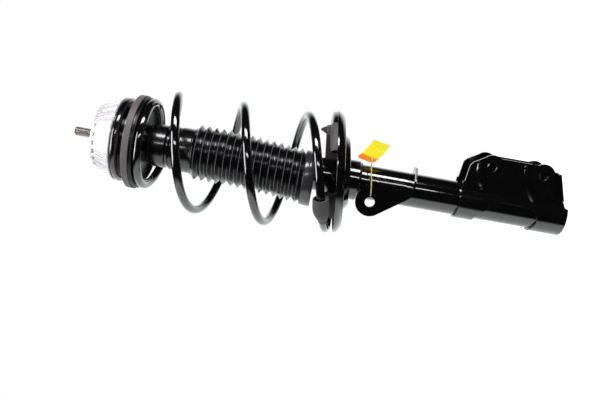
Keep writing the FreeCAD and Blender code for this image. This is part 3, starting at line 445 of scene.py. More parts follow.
@dataclass
class TopMount:
    """Fluted cone, rubber ring, threaded rod and bump stop of the fixed top mount."""

    body: str = "top_mount"
    cone_height: float = 28.5
    cone_top: float = 41.0
    cone_base: float = 54.0
    flutes: int = 24
    flute_depth: float = 2.6
    flute_edge: tuple[float, float] = (0.24, 0.33)
    flute_top: tuple[float, float] = (3.2, 4.4)
    flute_end: tuple[float, float] = (25.4, 27.2)
    well: float = 17.0
    rubber_depth: float = 47.5
    crown_radius: float = 56.0
    neck_radius: float = 47.0
    sleeve_radius: float = 9.1
    stud_length: float = 33.5
    stud_radius: float = 6.0
    thread_pitch: float = 1.5
    thread_depth: float = 0.8
    segments: int = 128

    def build(self) -> None:
        """Build and dress the pieces of the mount."""
        for make, finish, slot, node in (
                (self.cone, CAST_ALUMINIUM, "cast_aluminium", "mount_cone"),
                (self.rubber_ring, GLOSSY_RUBBER, "mount_rubber", "mount_rubber"),
                (self.threaded_rod, ROD_STEEL, "rod_steel", "piston_rod"),
                (self.bump_stop, BUMPER_FOAM, "bumper_foam", "bump_stop")):
            dress(make(), finish, self.body, (node,))

    def cone(self) -> SceneObject:
        """Turn the cone and sink its flutes.

        Returns:
            The cone. On its slanted wall the radius falls by the flute depth times a flat
            pulse of the angle, once for each flute, between a height near each end.
        """
        height, well = self.cone_height, self.well
        levels = np.linspace(-height + 0.8, -1.0, 48)
        slope = (self.cone_base - self.cone_top) / height
        wall = np.stack([self.cone_top - slope * levels, levels], axis=-1)
        base = np.array([(9.2, -height), (self.cone_base - 0.9, -height)])
        top = np.array([(self.cone_top - 0.6, -0.25), (self.cone_top - 1.4, 0.0),
                        (well + 0.6, 0.0), (well, -0.6), (well, -12.0), (9.2, -12.0)])
        columns = self.flutes * 16
        points = turned_points(np.concatenate([base, wall, top]), columns)
        place = np.linspace(0.0, self.flutes, columns, endpoint=False) % 1.0
        pulse = 1.0 - smooth_step(np.abs(place - 0.5), *self.flute_edge)
        window = (smooth_step(-levels, *self.flute_top)
                  * (1.0 - smooth_step(-levels, *self.flute_end)))
        depth = self.flute_depth * window[:, None] * pulse[None]
        points[2:2 + len(levels), :, :2] *= (1.0 - depth / wall[:, :1])[..., None]
        return surface_mesh("fluted_cone", points, sharp=35.0)

    def rubber_ring(self) -> SceneObject:
        """Turn the rubber ring.

        Returns:
            A ring whose outside is a full crown over a waisted neck and a foot. Its thin top
            flange carries the mark that fades it to grey.
        """
        top, foot = -self.cone_height, -self.rubber_depth
        crown, neck = self.crown_radius, self.neck_radius
        corners = np.array([
            (self.sleeve_radius, foot), (neck + 6.0, foot), (neck + 5.4, foot + 1.2),
            (neck + 1.2, foot + 2.6), (neck, foot + 4.6), (neck + 1.2, foot + 6.6),
            (crown - 3.0, foot + 8.2), (crown - 0.2, foot + 10.4), (crown, foot + 13.4),
            (crown - 0.9, top - 3.0), (crown - 2.6, top - 2.6), (crown - 2.6, top - 2.0),
            (crown - 0.6, top - 1.5), (crown - 0.6, top), (self.sleeve_radius, top)])
        profile = rounded(corners, 2.0, 7)
        points = turned_points(profile, self.segments)
        edge = smooth_step(profile[:, 1], top - 2.1, top - 1.5)
        return surface_mesh("rubber_ring", points, sharp=55.0, marks={"edge": edge[:, None]})

    def threaded_rod(self) -> SceneObject:
        """Turn the rod, with the thread cut into its stud.

        Returns:
            The rod. On the stud the radius falls by a triangle wave of the height plus the
            share of a turn, so that the ridges climb as a thread.
        """
        tip, pitch = self.stud_length, self.thread_pitch
        below = np.array([(0.0, -334.0), (5.0, -334.0), (6.0, -333.0), (6.0, -302.0),
                          (10.0, -302.0), (10.0, -49.5), (5.4, -49.5), (5.4, -1.0)])
        heights = np.linspace(-1.0, tip - 1.0, int((tip + 2.0) / pitch * 10))
        stud = np.stack([np.full_like(heights, self.stud_radius), heights], axis=-1)
        end = np.array([(self.stud_radius - 1.0, tip), (0.0, tip)])
        points = turned_points(np.concatenate([below, stud, end]), 48)
        angles = np.linspace(0.0, 1.0, 48, endpoint=False)
        first, last = len(below), len(below) + len(stud)
        turn = (heights[:, None] / pitch + angles[None]) % 1.0
        fade = smooth_step(heights, -1.0, 1.5) * (1.0 - smooth_step(heights, tip - 1.6, tip - 1.0))
        ridge = np.abs(2.0 * turn - 1.0) * fade[:, None]
        points[first:last, :, :2] *= (1.0 - self.thread_depth / self.stud_radius
                                      * ridge)[..., None]
        return surface_mesh("threaded_rod", points, wrap_rows=False, sharp=50.0)

    def bump_stop(self) -> SceneObject:
        """Turn the foam bump stop: three rolls, each a half sine, slimmer downwards."""
        heights = np.linspace(-64.4, -118.0, 60)
        share = (heights - heights[0]) / (heights[-1] - heights[0])
        swell = np.abs(np.sin(share * 3.0 * np.pi)) ** 0.7
        outside = np.stack([13.2 - share * 1.2 + swell * (4.6 - share * 1.5), heights], axis=-1)
        inside = np.array([(10.3, heights[-1]), (10.3, heights[0])])
        return surface_mesh("foam_stop", turned_points(np.concatenate([outside, inside]), 64))


@dataclass
class SpringSeat:
    """Rubber ring between the spring seat and the end coil."""

    body: str = "spring_seat"
    outer: float = 60.5
    inner: float = 47.0
    top: float = -58.5
    under: float = -60.5
    skirt: float = -66.0

    def build(self) -> None:
        """Build and dress the ring."""
        corners = np.array([(self.inner, self.skirt), (self.inner + 1.5, self.skirt),
                            (self.inner + 1.5, self.under), (self.outer, self.under),
                            (self.outer, self.top), (self.inner, self.top)])
        ring = surface_mesh("seat_rubber", turned_points(rounded(corners, 0.6), 128))
        dress(ring, PAD_RUBBER, self.body, ("upper_spring_pad",))


@dataclass
class CoilPath:
    """Line of the spring wire, as a function of the angle in degrees from +X downwards.

    The end coil at the top is smaller and flat. The radius grows over two thirds of a turn, the
    pitch eases in and out by parabolas, the free coils bow a little to -X, and the line leans
    more and more towards the tilted perch.
    """

    wire: float = 5.5
    end_radius: float = 54.7
    radius: float = 73.6
    pitch: float = 89.9
    rest: float = -66.3
    first_top: float = -96.5
    gap: float = 0.3
    perch_offset: float = 6.8
    perch_height: float = -319.6
    perch_tilt: float = 7.8
    upper_tip: float = -75.0
    lower_tip: float = 1489.0
    ease_lower: float = 1090.0
    growing: tuple[float, float] = (180.0, 415.0)
    shifting: tuple[float, float] = (1080.0, 1380.0)
    bow: float = 2.2
    bowing: tuple[float, float] = (180.0, 500.0)
    straightening: tuple[float, float] = (800.0, 1080.0)

    def seat_height(self) -> float:
        """Return the height of the wire's centre over the middle of the perch."""
        return (self.wire + self.gap) / np.cos(np.radians(self.perch_tilt)) + self.perch_height

    def ease_span(self) -> float:
        """Return the angle over which the pitch eases out at the bottom."""
        reached = self.first_top - self.pitch / 360.0 * (self.ease_lower - 360.0)
        return 2.0 * (reached - self.seat_height()) / (self.pitch / 360.0)

    def level(self, angle: Array) -> Array:
        """Height of the line before it leans.

        Args:
            angle: Angles in degrees.

        Returns:
            Heights: the rest height less a parabola up to one turn, then a straight fall
            that a second parabola brings to the seat height.
        """
        drop = self.pitch / 360.0
        ease = 2.0 * (self.rest - self.first_top) / drop
        along = np.clip(angle - (360.0 - ease), 0.0, None)
        upper = self.rest - drop * along ** 2 / (2.0 * ease)
        span = self.ease_span()
        late = np.clip(angle - self.ease_lower, 0.0, span)
        steady = np.minimum(angle, self.ease_lower) - 360.0
        lower = self.first_top - drop * (steady + late - late ** 2 / (2.0 * span))
        return np.where(angle < 360.0, upper, lower)

    def points(self, angle: Array) -> Array:
        """Points of the line.

        Args:
            angle: Angles in degrees.

        Returns:
            Points (c + r cos t, -r sin t, h + s (x - c)) with the radius r, the centre c
            and the lean s of each angle t.
        """
        turn = np.radians(angle)
        grow = smooth_step(angle, *self.growing)
        radius = self.end_radius * (1.0 - grow) + self.radius * grow
        tilt = np.radians(self.perch_tilt)
        seated = self.perch_offset - (self.wire + self.gap) * np.sin(tilt)
        centre = seated * smooth_step(angle, *self.shifting)
        centre = centre - self.bow * (smooth_step(angle, *self.bowing)
                                      * (1.0 - smooth_step(angle, *self.straightening)))
        across = radius * np.cos(turn)
        share = np.clip((angle - 360.0) / (self.ease_lower + self.ease_span() - 360.0), 0.0, 1.0)
        height = self.level(angle) + np.tan(tilt) * share * across
        return np.stack([centre + across, -radius * np.sin(turn), height], axis=-1)

    def weights(self, angle: Array) -> Array:
        """Return how far each angle follows the perch: 0 at the end coil, 1 on the perch."""
        level = self.level(angle)
        return np.clip((self.rest - level) / (self.rest - self.seat_height()), 0.0, 1.0)


@dataclass
class Spring:
    """The coil spring, which stretches between its seat and the perch."""

    line: CoilPath = field(default_factory=CoilPath)
    step: float = 3.0
    sides: int = 24
    bevel: float = 0.8

    def build(self) -> None:
        """Build the wire, dress it and bake its placement into its mesh."""
        wire = dress(self.wire_mesh(), SPRING_PAINT, "", ("coil_spring",))
        blend_over_stroke(wire)

    def wire_mesh(self) -> SceneObject:
        """Carry a circle along the line, with a straight run of one diameter at each end.

        Returns:
            The wire, with the share attribute of how far each station follows the perch.
        """
        angles = np.arange(self.line.upper_tip, self.line.lower_tip + self.step, self.step)
        path = self.line.points(angles)
        ahead = unit(np.gradient(path, axis=0))
        run = 2.0 * self.line.wire
        path = np.concatenate([path[:1] - ahead[:1] * run, path, path[-1:] + ahead[-1:] * run])
        ahead = np.concatenate([ahead[:1], ahead, ahead[-1:]])
        share = self.line.weights(np.concatenate([angles[:1], angles, angles[-1:]]))
        path, ahead, share, size = self.bevelled(path, ahead, share)
        section = circle(self.line.wire, self.sides)[None] * size[:, None, None]
        points = swept_points(path, *upright(ahead), section)
        return surface_mesh("spring_wire", points, wrap_rows=False, sharp=50.0,
                            marks={"share": share[:, None]})

    def bevelled(self, path: Array, ahead: Array, share: Array) -> tuple[Array, ...]:
        """Add the flat, bevelled cut ends of the wire.

        Args:
            path: Stations.
            ahead: Directions.
            share: Blend weights.

        Returns:
            The stations, directions, weights and section sizes with the ends added.
        """
        face = 1.0 - self.bevel / self.line.wire
        size = np.concatenate([[0.0, face], np.ones(len(path)), [face, 0.0]])
        moved = path.copy()
        moved[0] += ahead[0] * self.bevel
        moved[-1] -= ahead[-1] * self.bevel
        moved = np.concatenate([path[:1], path[:1], moved, path[-1:], path[-1:]])
        ahead, share = (np.concatenate([row[:1], row[:1], row, row[-1:], row[-1:]])
                        for row in (ahead, share))
        return moved, ahead, share, size


@dataclass
class DustBoot:
    """Ribbed dust boot: collar, bead, plain neck, pointed pleats and a loose cuff."""

    top: float = -62.5
    collar: float = 28.2
    groove: float = 25.0
    neck: float = 29.6
    crest: float = 36.5
    valley: float = 31.4
    first_crest: float = -132.4
    pitch: float = 9.76
    pleats: int = 15
    cuff_end: float = -289.0
    wall: float = 1.2
    follow: float = 0.73
    follow_from: float = -112.0
    sag: float = 9.0
    sag_from: float = -165.0
    sag_power: float = 1.35
    sag_towards: tuple[float, float] = (-0.98, -0.19)
    waver: float = 0.35
    collar_rows: tuple[int, int] = (14, 22)
    collar_shine: float = 0.35
    cuff_shine: float = 0.2
    segments: int = 144

    def profile(self) -> tuple[Array, Array]:
        """Section of the boot, from the bore at the top round the outside to the bore again.

        Returns:
            The radius and height pairs, and for each the mark that lights the crests, the
            outside of the cuff and the top of the collar.
        """
        top, last = self.top, self.first_crest - self.pitch * (self.pleats - 0.5)
        head = np.array([
            (23.2, top), (25.2, top), (25.2, -70.4), (27.4, -70.8), (self.collar, -71.8),
            (self.collar + 0.1, -82.0), (self.collar, -91.0), (27.2, -92.2),
            (self.groove + 0.2, -92.8), (self.groove, -95.8), (27.8, -96.6),
            (self.collar + 0.5, -98.0), (self.collar + 0.5, -107.0), (self.neck - 1.4, -108.4),
            (self.neck, -109.8), (self.neck, self.first_crest + 7.4),
            (self.neck - 0.2, self.first_crest + 6.4), (self.valley, self.first_crest + 5.6)])
        head = rounded(head, 0.9, 5, closed=False)
        steps = np.linspace(0.0, self.pleats, self.pleats * 16, endpoint=False)
        rise = 1.0 - np.abs(2.0 * ((steps + 0.5) % 1.0) - 1.0)
        sharpened = np.clip(rise * 1.10, 0.0, 1.0) ** 0.92
        pleat = np.stack([self.valley + (self.crest - self.valley) * (1.0 - sharpened),
                          self.first_crest + self.pitch / 2.0 - steps * self.pitch], axis=-1)
        cuff = np.array([(self.valley + 1.0, last), (self.crest - 0.6, last - 0.8),
                         (self.crest, last - 1.6), (self.crest, self.cuff_end + 0.8),
                         (self.crest - 0.8, self.cuff_end), (self.crest - 2.3, self.cuff_end),
                         (self.crest - 2.3, last - 2.2), (self.valley - self.wall, last + 0.4)])
        inner = pleat[::-1] - np.array([self.wall, 0.0])
        bore = np.array([(26.6, -112.0), (23.2, -110.0)])
        whole = np.concatenate([head, pleat, cuff, inner, bore])
        mark = np.zeros(len(whole))
        first_cuff = len(head) + len(pleat)
        # Painted highlight: the crests, the cuff's outside and the collar's top fade towards grey.
        crests = smooth_step(pleat[:, 0], self.crest - 0.9, self.crest - 0.2)
        mark[len(head):first_cuff] = crests
        mark[first_cuff:first_cuff + 6] = self.cuff_shine
        mark[slice(*self.collar_rows)] = self.collar_shine
        return whole, mark

    def build(self) -> None:
        """Build the boot, dress it and bake its placement into its mesh.

        Its loose end hangs to one side by a power of the share of the way down, as the boot
        of a strut that lies on a table does.
        """
        profile, mark = self.profile()
        points = turned_points(profile, self.segments)
        angles = np.linspace(0.0, FULL_TURN, self.segments, endpoint=False)
        height = profile[:, 1][:, None]
        wave = (self.waver * np.sin(3.0 * angles[None] + height * 0.21)
                * smooth_step(-height, 118.0, 150.0))
        points[..., :2] *= (1.0 + wave / np.maximum(profile[:, :1], 1.0))[..., None]
        hang = self.sag * self.way_down(height, self.sag_from) ** self.sag_power
        points[..., :2] += np.array(self.sag_towards) * hang[..., None]
        share = self.follow * self.way_down(height, self.follow_from)
        boot = surface_mesh("pleated_boot", points, sharp=60.0,
                            marks={"crest": mark[:, None], "share": share})
        dress(boot, BOOT_RUBBER, "", ("dust_boot",))
        blend_over_stroke(boot)

    def way_down(self, height: Array, start: float) -> Array:
        """Return the share of the way from a start height to the end of the cuff."""
        return np.clip((start - height) / (start - self.cuff_end), 0.0, 1.0)


@dataclass
class Perch:
    """Tilted dish, the rubber pad in it and the rubber round the wire's ends on it."""

    body: str = "damper"
    rim: float = 81.0
    floor: float = 4.0
    step: float = 8.0
    sheet: float = 2.5
    middle: float = 44.0
    hub: float = 26.7
    inner: float = 58.0
    wall_height: float = 17.0
    outer: float = 75.2
    tab_angle: float = -26.0
    tab_reach: float = 11.0
    tab_height: float = 8.0
    line: CoilPath = field(default_factory=CoilPath)

    def placed(self, points: Array) -> Array:
        """Turn points by the tilt about Y, raising the +X side, and move them to the perch."""
        cos, sin = (f(np.radians(self.line.perch_tilt)) for f in (np.cos, np.sin))
        x = points[..., 0] * cos - points[..., 2] * sin + self.line.perch_offset
        z = points[..., 0] * sin + points[..., 2] * cos + self.line.perch_height
        return np.stack([x, points[..., 1], z], axis=-1)

    def build(self) -> None:
        """Build and dress the dish, its pad and the rubber round the wire."""
        dress(self.dish(), PERCH_PAINT, self.body, ("spring_perch",))
        dress(self.pad(), GREY_RUBBER, self.body, ("lower_pad",))
        for name, first, last, flare, sizes in (
                ("wire_cup", 1187.0, 1216.0, 2.4, (10.2, 10.9, 11.4, 11.2, 9.6, 7.0, 6.2)),
                ("wire_end_sleeve", 1472.0, 1503.0, 0.0, (6.2, 7.0, 7.1, 7.1, 7.1, 7.0, 6.2))):
            tube = self.rubber_tube(name, first, last, flare, np.array(sizes))
            dress(tube, GREY_RUBBER, self.body)

    def dish(self) -> SceneObject:
        """Turn the dish.

        Returns:
            A dish with a lipped rim and a lowered middle. The rings of the middle slide over
            to the strut axis, so that the hole lies round the tube.
        """
        rim, floor, low = self.rim, -self.floor, -self.floor - self.step
        under = self.sheet
        corners = np.array([
            (self.hub, low), (self.middle, low), (self.middle + self.step, floor),
            (71.6, floor), (75.6, floor + 2.6), (rim - 2.3, 1.9), (rim - 1.8, 4.2), (rim, 4.2),
            (rim - 0.4, 1.4), (rim - 3.0, -2.4), (rim - 8.5, floor - under),
            (self.middle + self.step, floor - under), (self.middle, low - under),
            (self.hub, low - under)])
        profile = rounded(corners, 2.0, 6)
        points = turned_points(profile, 160)
        share = np.clip((profile[:, 0] - self.hub) / (self.middle - self.hub), 0.0, 1.0)
        points[..., 0] -= self.line.perch_offset * (1.0 - share)[:, None]
        return surface_mesh("perch_dish", self.placed(points), sharp=50.0)

    def pad(self) -> SceneObject:
        """Turn the pad, with an inner wall whose height changes round it.

        Returns:
            The pad. The wall is full on the upper and far sides and beside the incoming wire,
            it is missing in front of the tube, and a pointed tab stands on it.
        """
        high = self.wall_height
        corners = np.array([
            (self.inner, -self.floor), (71.0, -self.floor), (self.outer, -1.2), (self.outer, 0.0),
            (self.inner + 6.0, 0.0), (self.inner + 4.8, 1.4), (self.inner + 3.6, high),
            (self.inner + 0.4, high)])
        profile = rounded(corners, 1.2)
        points = turned_points(profile, 240)
        angle = np.degrees(-np.linspace(0.0, FULL_TURN, 240, endpoint=False)) % 360.0
        share = 1.0 - smooth_step(angle, 24.0, 50.0) * (1.0 - smooth_step(angle, 104.0, 116.0))
        from_tab = np.abs((angle - self.tab_angle + 180.0) % 360.0 - 180.0)
        tab = self.tab_height * np.clip(1.0 - from_tab / self.tab_reach, 0.0, 1.0)
        raised = np.clip((points[..., 2] - 1.4) / (high - 1.4), 0.0, 1.0)
        points[..., 2] += raised * ((share - 1.0) * (high - 1.4) + tab)[None]
        # Painted shade: this mark darkens the pad's near side, from about 20 to 260 degrees round
        # it.
        near = smooth_step(angle, 20.0, 45.0) * (1.0 - smooth_step(angle, 235.0, 260.0))
        return surface_mesh("pad_ring", self.placed(points), sharp=50.0,
                            marks={"dark": near[None]})

    def rubber_tube(self, name: str, first: float, last: float, flare: float,
                    sizes: Array) -> SceneObject:
        """Carry an open rubber tube along the wire.

        The outer radius follows the given sizes along the way, and the lower side is cut flat
        over the pad. The inner side comes back at a radius just over the wire's.

        Args:
            name: Name of the object.
            first: Angle of the line at which it starts.
            last: Angle at which it ends.
            flare: How much wider than the wire its first mouth is, in millimetres.
            sizes: Outer radii at even shares of its length.

        Returns:
            The tube, whose two mouths are closed by the ring between its sides.
        """
        path = self.line.points(np.linspace(first, last, max(int((last - first) / 2.0), 4)))
        across, up = upright(unit(np.gradient(path, axis=0)))
        along = np.linspace(0.0, 1.0, len(path))
        outer = np.interp(along, np.linspace(0.0, 1.0, len(sizes)), sizes)
        round_it = circle(1.0, 40)
        outside = round_it[None] * outer[:, None, None]
        slope = np.tan(np.radians(self.line.perch_tilt))
        surface = self.line.perch_height + slope * (path[:, 0] - self.line.perch_offset)
        lowest = np.minimum(surface - path[:, 2] + 0.05, -self.line.wire - 0.2)
        outside[..., 1] = np.maximum(outside[..., 1], lowest[:, None])
        bore = self.line.wire + 0.15 + flare * (1.0 - smooth_step(along, 0.0, 0.6))
        inside = round_it[None] * bore[:, None, None]
        inside[..., 1] = np.maximum(inside[..., 1], -self.line.wire - 0.15)
        points = np.concatenate([swept_points(path, across, up, outside),
                                 swept_points(path, across, up, inside)[::-1]])
        return surface_mesh(name, points, sharp=45.0)


@dataclass
class WeldBead:
    """Rippled weld bead round the strut axis at a corner on the tube."""

    name: str
    radius: float
    height: float
    size: float = 1.7
    first: float = 0.0
    last: float = 360.0
    ripple: float = 2.4

    def mesh(self) -> SceneObject:
        """Carry a circle round the axis.

        Returns:
            The bead. Its section grows and shrinks with a raised cosine for each ripple,
            and its ends taper.
        """
        whole = self.last - self.first >= 360.0
        length = np.radians(self.last - self.first) * self.radius
        count = max(int(length / self.ripple * 6), 12)
        angles = np.radians(np.linspace(self.first, self.last, count, endpoint=not whole))
        path = np.stack([self.radius * np.cos(angles), self.radius * np.sin(angles),
                         np.full_like(angles, self.height)], axis=-1)
        across = unit(path * np.array([1.0, 1.0, 0.0]))
        up = np.broadcast_to(np.array([0.0, 0.0, 1.0]), path.shape)
        waves = 1.0 + 0.10 * np.cos(angles * self.radius / self.ripple * FULL_TURN)
        if not whole:
            share = np.linspace(0.0, 1.0, count)
            waves = waves * np.sqrt(np.clip(np.minimum(share, 1.0 - share) * 8.0, 0.02, 1.0))
        section = circle(self.size, 10)[None] * waves[:, None, None]
        points = swept_points(path, across, up, section)
        if not whole:
            points = capped(points)
        return surface_mesh(self.name, points, wrap_rows=whole, sharp=80.0)


@dataclass
class PressedRib:
    """Stiffening rib pressed out of a flange of the knuckle bracket.

    The ends are X and Z places on the flange, and side is -1 for the flange at -Y.
    """

    name: str
    low: tuple[float, float]
    high: tuple[float, float]
    side: float
    face: float = 20.0
    width: float = 5.0
    height: float = 3.6

    def mesh(self) -> SceneObject:
        """Carry a ridge section between the ends.

        Returns:
            The rib: a wedge with a long flank towards +Z, whose size follows the square root
            of a sine so that it tapers at both ends.
        """
        share = np.linspace(0.0, 1.0, 41)
        ends = np.array([(x, self.side * self.face, z) for x, z in (self.low, self.high)])
        path = ends[0] + (ends[1] - ends[0]) * share[:, None]
        ahead = unit(ends[1:] - ends[:1])
        out = np.broadcast_to(np.array([0.0, self.side, 0.0]), path.shape)
        across = np.broadcast_to(np.cross(ahead, out[:1]), path.shape)
        across = across * np.sign(across[0, 2])
        section = rounded(np.array([(self.width, -0.6), (self.width, 0.0), (0.0, self.height),
                                    (-2.6, 0.0), (-2.6, -0.6)]), 0.7, 4)
        size = np.sqrt(np.clip(np.sin(share * np.pi), 0.003, 1.0))
        points = swept_points(path, across, out, section[None] * size[:, None, None])
        return surface_mesh(self.name, capped(points), wrap_rows=False, sharp=50.0)


@dataclass
class Damper:
    """Welds of the perch and the brackets, the bracket's ribs and the lipped rod seal."""

    body: str = "damper"

    def build(self) -> None:
        """Build and dress the welds, the ribs and the seal."""
        for bead in (WeldBead("collar_weld", 22.9, -348.6, 1.5),
                     WeldBead("end_weld", 21.2, -616.2, 1.3),
                     WeldBead("bracket_weld_low", 22.9, -479.6, 1.5, 200.0, 246.0),
                     WeldBead("bracket_weld_high", 22.9, -479.6, 1.5, 114.0, 160.0)):
            dress(bead.mesh(), WELD_PAINT, self.body)
        for side, place in ((-1.0, "near"), (1.0, "far")):
            for rib in (PressedRib(f"upper_rib_{place}", (22.0, -504.8), (55.0, -494.6), side),
                        PressedRib(f"lower_rib_{place}", (13.0, -574.8), (58.0, -554.2), side)):
                dress(rib.mesh(), BRACKET_PAINT, self.body)
        dress(self.rod_seal(), PAD_RUBBER, self.body, ("rod_seal",))

    def rod_seal(self) -> SceneObject:
        """Turn the seal: a ring with two lips at the rod."""
        corners = np.array([(10.05, -236.0), (11.4, -234.4), (10.05, -232.8), (11.0, -231.0),
                            (20.0, -231.0), (20.0, -237.0), (11.0, -237.0)])
        return surface_mesh("lipped_seal", turned_points(rounded(corners, 0.4), 64))


@dataclass
class Tag:
    """Card tag on its string."""

    body: str = "damper"
    route: tuple[tuple[float, float, float], ...] = (
        (-13.0, -26.4, -365.4), (-4.0, -29.4, -364.2), (8.0, -30.0, -362.2),
        (18.0, -27.6, -360.2), (28.0, -26.0, -358.9), (34.0, -21.0, -358.4),
        (34.0, -15.0, -358.4))
    thickness: float = 1.6
    length: float = 0.0530
    corner: tuple[float, float, float] = (30.1, -9.0, -340.4)
    across: tuple[float, float, float] = (-2.8, -14.0, -20.8)
    along: tuple[float, float, float] = (24.2, 23.9, -20.2)
    card: float = 0.5

    def build(self) -> None:
        card = dress(self.card_mesh(), CARD_YELLOW, self.body, ("tag_label",))
        knot = dress(self.knot(), STRING_FIBRE, self.body)
        string = self.string()
        string.data.materials.append(STRING_FIBRE.build())
        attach(string, self.body)
        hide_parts("tag_string")
        log.info("piece %s: spline of %d points", string.name, len(self.route))

    def card_mesh(self) -> SceneObject:
        """Bend a thin card with cut corners.

        The card is a grid over its two edge vectors, two sheets a thickness apart joined at
        the rim. It bows by a parabola, and the quarter of it at the string carries the mark
        that turns it orange.

        Returns:
            The card.
        """
        a, b = np.meshgrid(np.linspace(0.0, 1.0, 15), np.linspace(0.0, 1.0, 21), indexing="ij")
        trim = np.clip(np.abs(a - 0.5) - 0.40, 0.0, None)
        b = np.maximum(b, trim * 0.8)
        across, along = np.array(self.across), np.array(self.along)
        facing = unit(np.cross(across, along)[None])[0]
        bow = 2.2 * (2.0 * b - 1.0) ** 2
        loop_a, loop_b = [np.concatenate([x, x[:, ::-1]], axis=1) for x in (a, b)]
        depth = np.concatenate([bow + self.card, bow[:, ::-1]], axis=1)
        points = (np.array(self.corner) + loop_a[..., None] * across + loop_b[..., None] * along
                  + depth[..., None] * facing)
        ends = [0.5 * (row + row[::-1]) for row in (points[0], points[-1])]
        points = np.concatenate([ends[0][None], points, ends[1][None]])
        warm = 1.0 - smooth_step(loop_b, 0.22, 0.32)
        warm = np.concatenate([warm[:1], warm, warm[-1:]])
        return surface_mesh("tag_card", points, wrap_rows=False, marks={"warm": warm})

    def knot(self) -> SceneObject:
        """Turn a small lumpy knot: a ball whose radius swells with two waves of its angles."""
        around = np.linspace(0.0, FULL_TURN, 24, endpoint=False)
        down = np.linspace(0.0, np.pi, 13)
        u, v = np.meshgrid(around, down, indexing="xy")
        size = 1.5 * (1.0 + 0.16 * np.sin(3.0 * u + 2.0 * v) * np.sin(v))
        ball = np.stack([size * np.sin(v) * np.cos(u), size * np.sin(v) * np.sin(u),
                         size * np.cos(v)], axis=-1)
        return surface_mesh("string_knot", ball + np.array(self.route[-1]), wrap_rows=False)

    def string(self) -> SceneObject:
        """Draw the string as one smooth spline on the points of its route."""
        curve = bpy.data.curves.new("tag_line", "CURVE")
        curve.dimensions = "3D"
        curve.bevel_depth = self.thickness * MM / 2.0
        curve.bevel_resolution = 4
        curve.use_fill_caps = True
        spline = curve.splines.new("NURBS")
        spline.points.add(len(self.route) - 1)
        for point, place in zip(spline.points, self.route):
            point.co = (*(value * MM for value in place), 1.0)
        spline.order_u = 3
        spline.use_endpoint_u = True
        spline.resolution_u = 12
        return linked("tag_line", curve)


@dataclass(frozen=True)
class SoftLamp:
    """Soft rectangular lamp that faces the middle of the strut.

    place is how far it stands from there along the picture's right, overhead and forward
    directions, in millimetres. size is its length along the strut and its width, in metres.
    """

    name: str
    place: tuple[float, float, float]
    size: tuple[float, float]
    watts: float


LAMPS = (SoftLamp("top_softbox", (0.0, 800.0, -250.0), (0.9, 0.22), 7.0),
         SoftLamp("front_strip", (0.0, 250.0, -900.0), (0.9, 0.08), 1.6),
         SoftLamp("stud_softbox", (-900.0, 60.0, -300.0), (0.5, 0.6), 6.0))


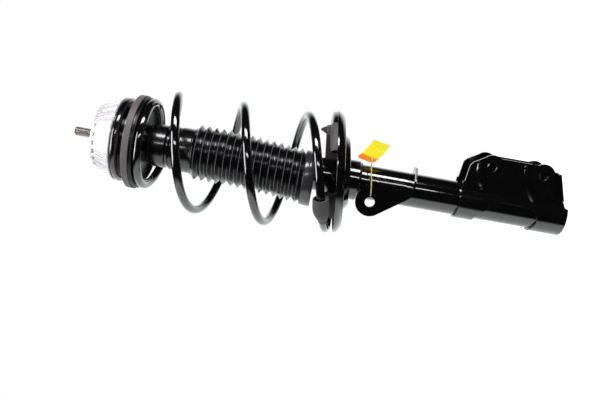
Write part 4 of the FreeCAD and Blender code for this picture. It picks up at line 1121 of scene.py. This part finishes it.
@dataclass
class Studio:
    """Camera, lamps, white surroundings and the pale floor."""

    tilt: float = 10.05
    roll: float = 11.0
    middle: float = -269.6
    rise: float = -39.4
    distance: float = 800.0
    lens: float = 36.02
    table: float = 23.0
    floor_half: float = 700.0
    floor_height: float = -740.0
    white: tuple[float, ...] = (1.0, 1.0, 1.0, 1.0)

    def __post_init__(self) -> None:
        """Work out the camera's axes from its tilt and roll."""
        roll, tilt, table = (np.radians(value) for value in (self.roll, self.tilt, self.table))
        self.forward = np.array([-np.sin(roll), np.cos(roll), 0.0])
        side = np.array([np.cos(roll), np.sin(roll), 0.0])
        down = np.array([0.0, 0.0, -1.0])
        self.right = np.cos(tilt) * down + np.sin(tilt) * side
        self.up = -np.sin(tilt) * down + np.cos(tilt) * side
        self.overhead = np.cos(table) * self.up - np.sin(table) * self.forward
        self.target = np.array([0.0, 0.0, self.middle])
        self.eye = self.target + self.rise * self.up - self.distance * self.forward

    def build(self) -> None:
        """Set up the whole studio."""
        self.add_camera()
        self.add_world()
        self.add_floor()
        for lamp in LAMPS:
            self.add_lamp(lamp)
        bpy.context.scene.view_settings.view_transform = "Standard"

    def add_camera(self) -> None:
        """Place the camera where the photograph was taken from."""
        camera = bpy.data.cameras.new("camera")
        camera.lens = self.lens
        camera.sensor_width = 36.0
        camera.clip_start = 0.01
        made = linked("camera", camera)
        stand(made, [self.right, self.up, -self.forward], self.eye)
        bpy.context.scene.camera = made

    def add_lamp(self, softbox: SoftLamp) -> None:
        """Add a lamp.

        Args:
            softbox: Its place, size and power.
        """
        lamp = bpy.data.lights.new(softbox.name, "AREA")
        lamp.shape = "RECTANGLE"
        lamp.size, lamp.size_y = softbox.size
        lamp.energy = softbox.watts
        made = linked(softbox.name, lamp)
        offset = np.array(softbox.place) @ np.stack([self.right, self.overhead, self.forward])
        back = unit(offset[None])[0]
        along = unit((self.right - back * (self.right @ back))[None])[0]
        stand(made, [along, np.cross(back, along), back], self.target + offset)
        made.visible_camera = False

    def add_world(self) -> None:
        """Light the scene as a white table and backdrop in a dark room would.

        The camera sees plain white. Other rays see white where they go behind or under the
        object, as a smooth function of their direction, and a dark room elsewhere.
        """
        world = bpy.data.worlds.new("studio")
        bpy.context.scene.world = world
        world.use_nodes = True
        tree = world.node_tree
        place = add_node(tree, "TexCoord", {}).outputs["Generated"]
        shares = []
        for axis, start, end in ((-self.overhead, 0.42, 0.66), (self.forward, 0.45, 0.85)):
            along = add_node(tree, "VectorMath", {0: place, 1: tuple(axis)},
                             operation="DOT_PRODUCT")
            fade = add_node(tree, "MapRange", {"From Min": start, "From Max": end,
                                               "To Min": 0.0, "To Max": 1.0,
                                               "Value": along.outputs["Value"]},
                            interpolation_type="SMOOTHSTEP")
            shares.append(fade.outputs["Result"])
        either = add_node(tree, "Math", dict(enumerate(shares)), operation="MAXIMUM")
        room = add_node(tree, "Mix", {"A": (0.012, 0.012, 0.014, 1.0),
                                      "B": (0.95, 1.0, 0.97, 1.0),
                                      "Factor": either.outputs["Value"]}, data_type="RGBA")
        rays = add_node(tree, "LightPath", {})
        seen = add_node(tree, "Mix", {"A": room.outputs["Result"], "B": self.white,
                                      "Factor": rays.outputs["Is Camera Ray"]},
                        data_type="RGBA")
        feed(tree.nodes["Background"], {"Color": seen.outputs["Result"]})

    def add_floor(self) -> None:
        """Lay a pale floor under the strut's lower end, white to the camera but for shadow."""
        edge = np.linspace(-self.floor_half, self.floor_half, 3)
        x, y = np.meshgrid(edge, edge, indexing="ij")
        points = np.stack([x, y, np.full_like(x, self.floor_height)], axis=-1)
        floor = surface_mesh("floor", points, wrap_rows=False, wrap_columns=False)
        material, tree = node_material("floor_white")
        shader = feed(tree.nodes["Principled BSDF"],
                      {"Base Color": (0.9, 0.9, 0.9, 1.0), "Roughness": 0.9})
        rays = add_node(tree, "LightPath", {})
        strength = add_node(tree, "Math", {0: rays.outputs["Is Camera Ray"], 1: 0.75},
                            operation="MULTIPLY")
        glow = add_node(tree, "Emission", {"Color": self.white,
                                           "Strength": strength.outputs["Value"]})
        both = add_node(tree, "AddShader", {0: shader.outputs["BSDF"],
                                            1: glow.outputs["Emission"]})
        feed(tree.nodes["Material Output"], {"Surface": both.outputs["Shader"]})
        floor.data.materials.append(material)
        floor.visible_glossy = False


def main() -> None:
    """Build the studio and every sub-assembly in order."""
    dress_cad_nodes()
    for assembly in (Studio(), Tag(), TopMount(), SpringSeat(), Spring(), DustBoot(), Perch(),
                     Damper()):
        assembly.build()
        log.info("built %s", type(assembly).__name__)


if __name__ == "__main__":
    main()
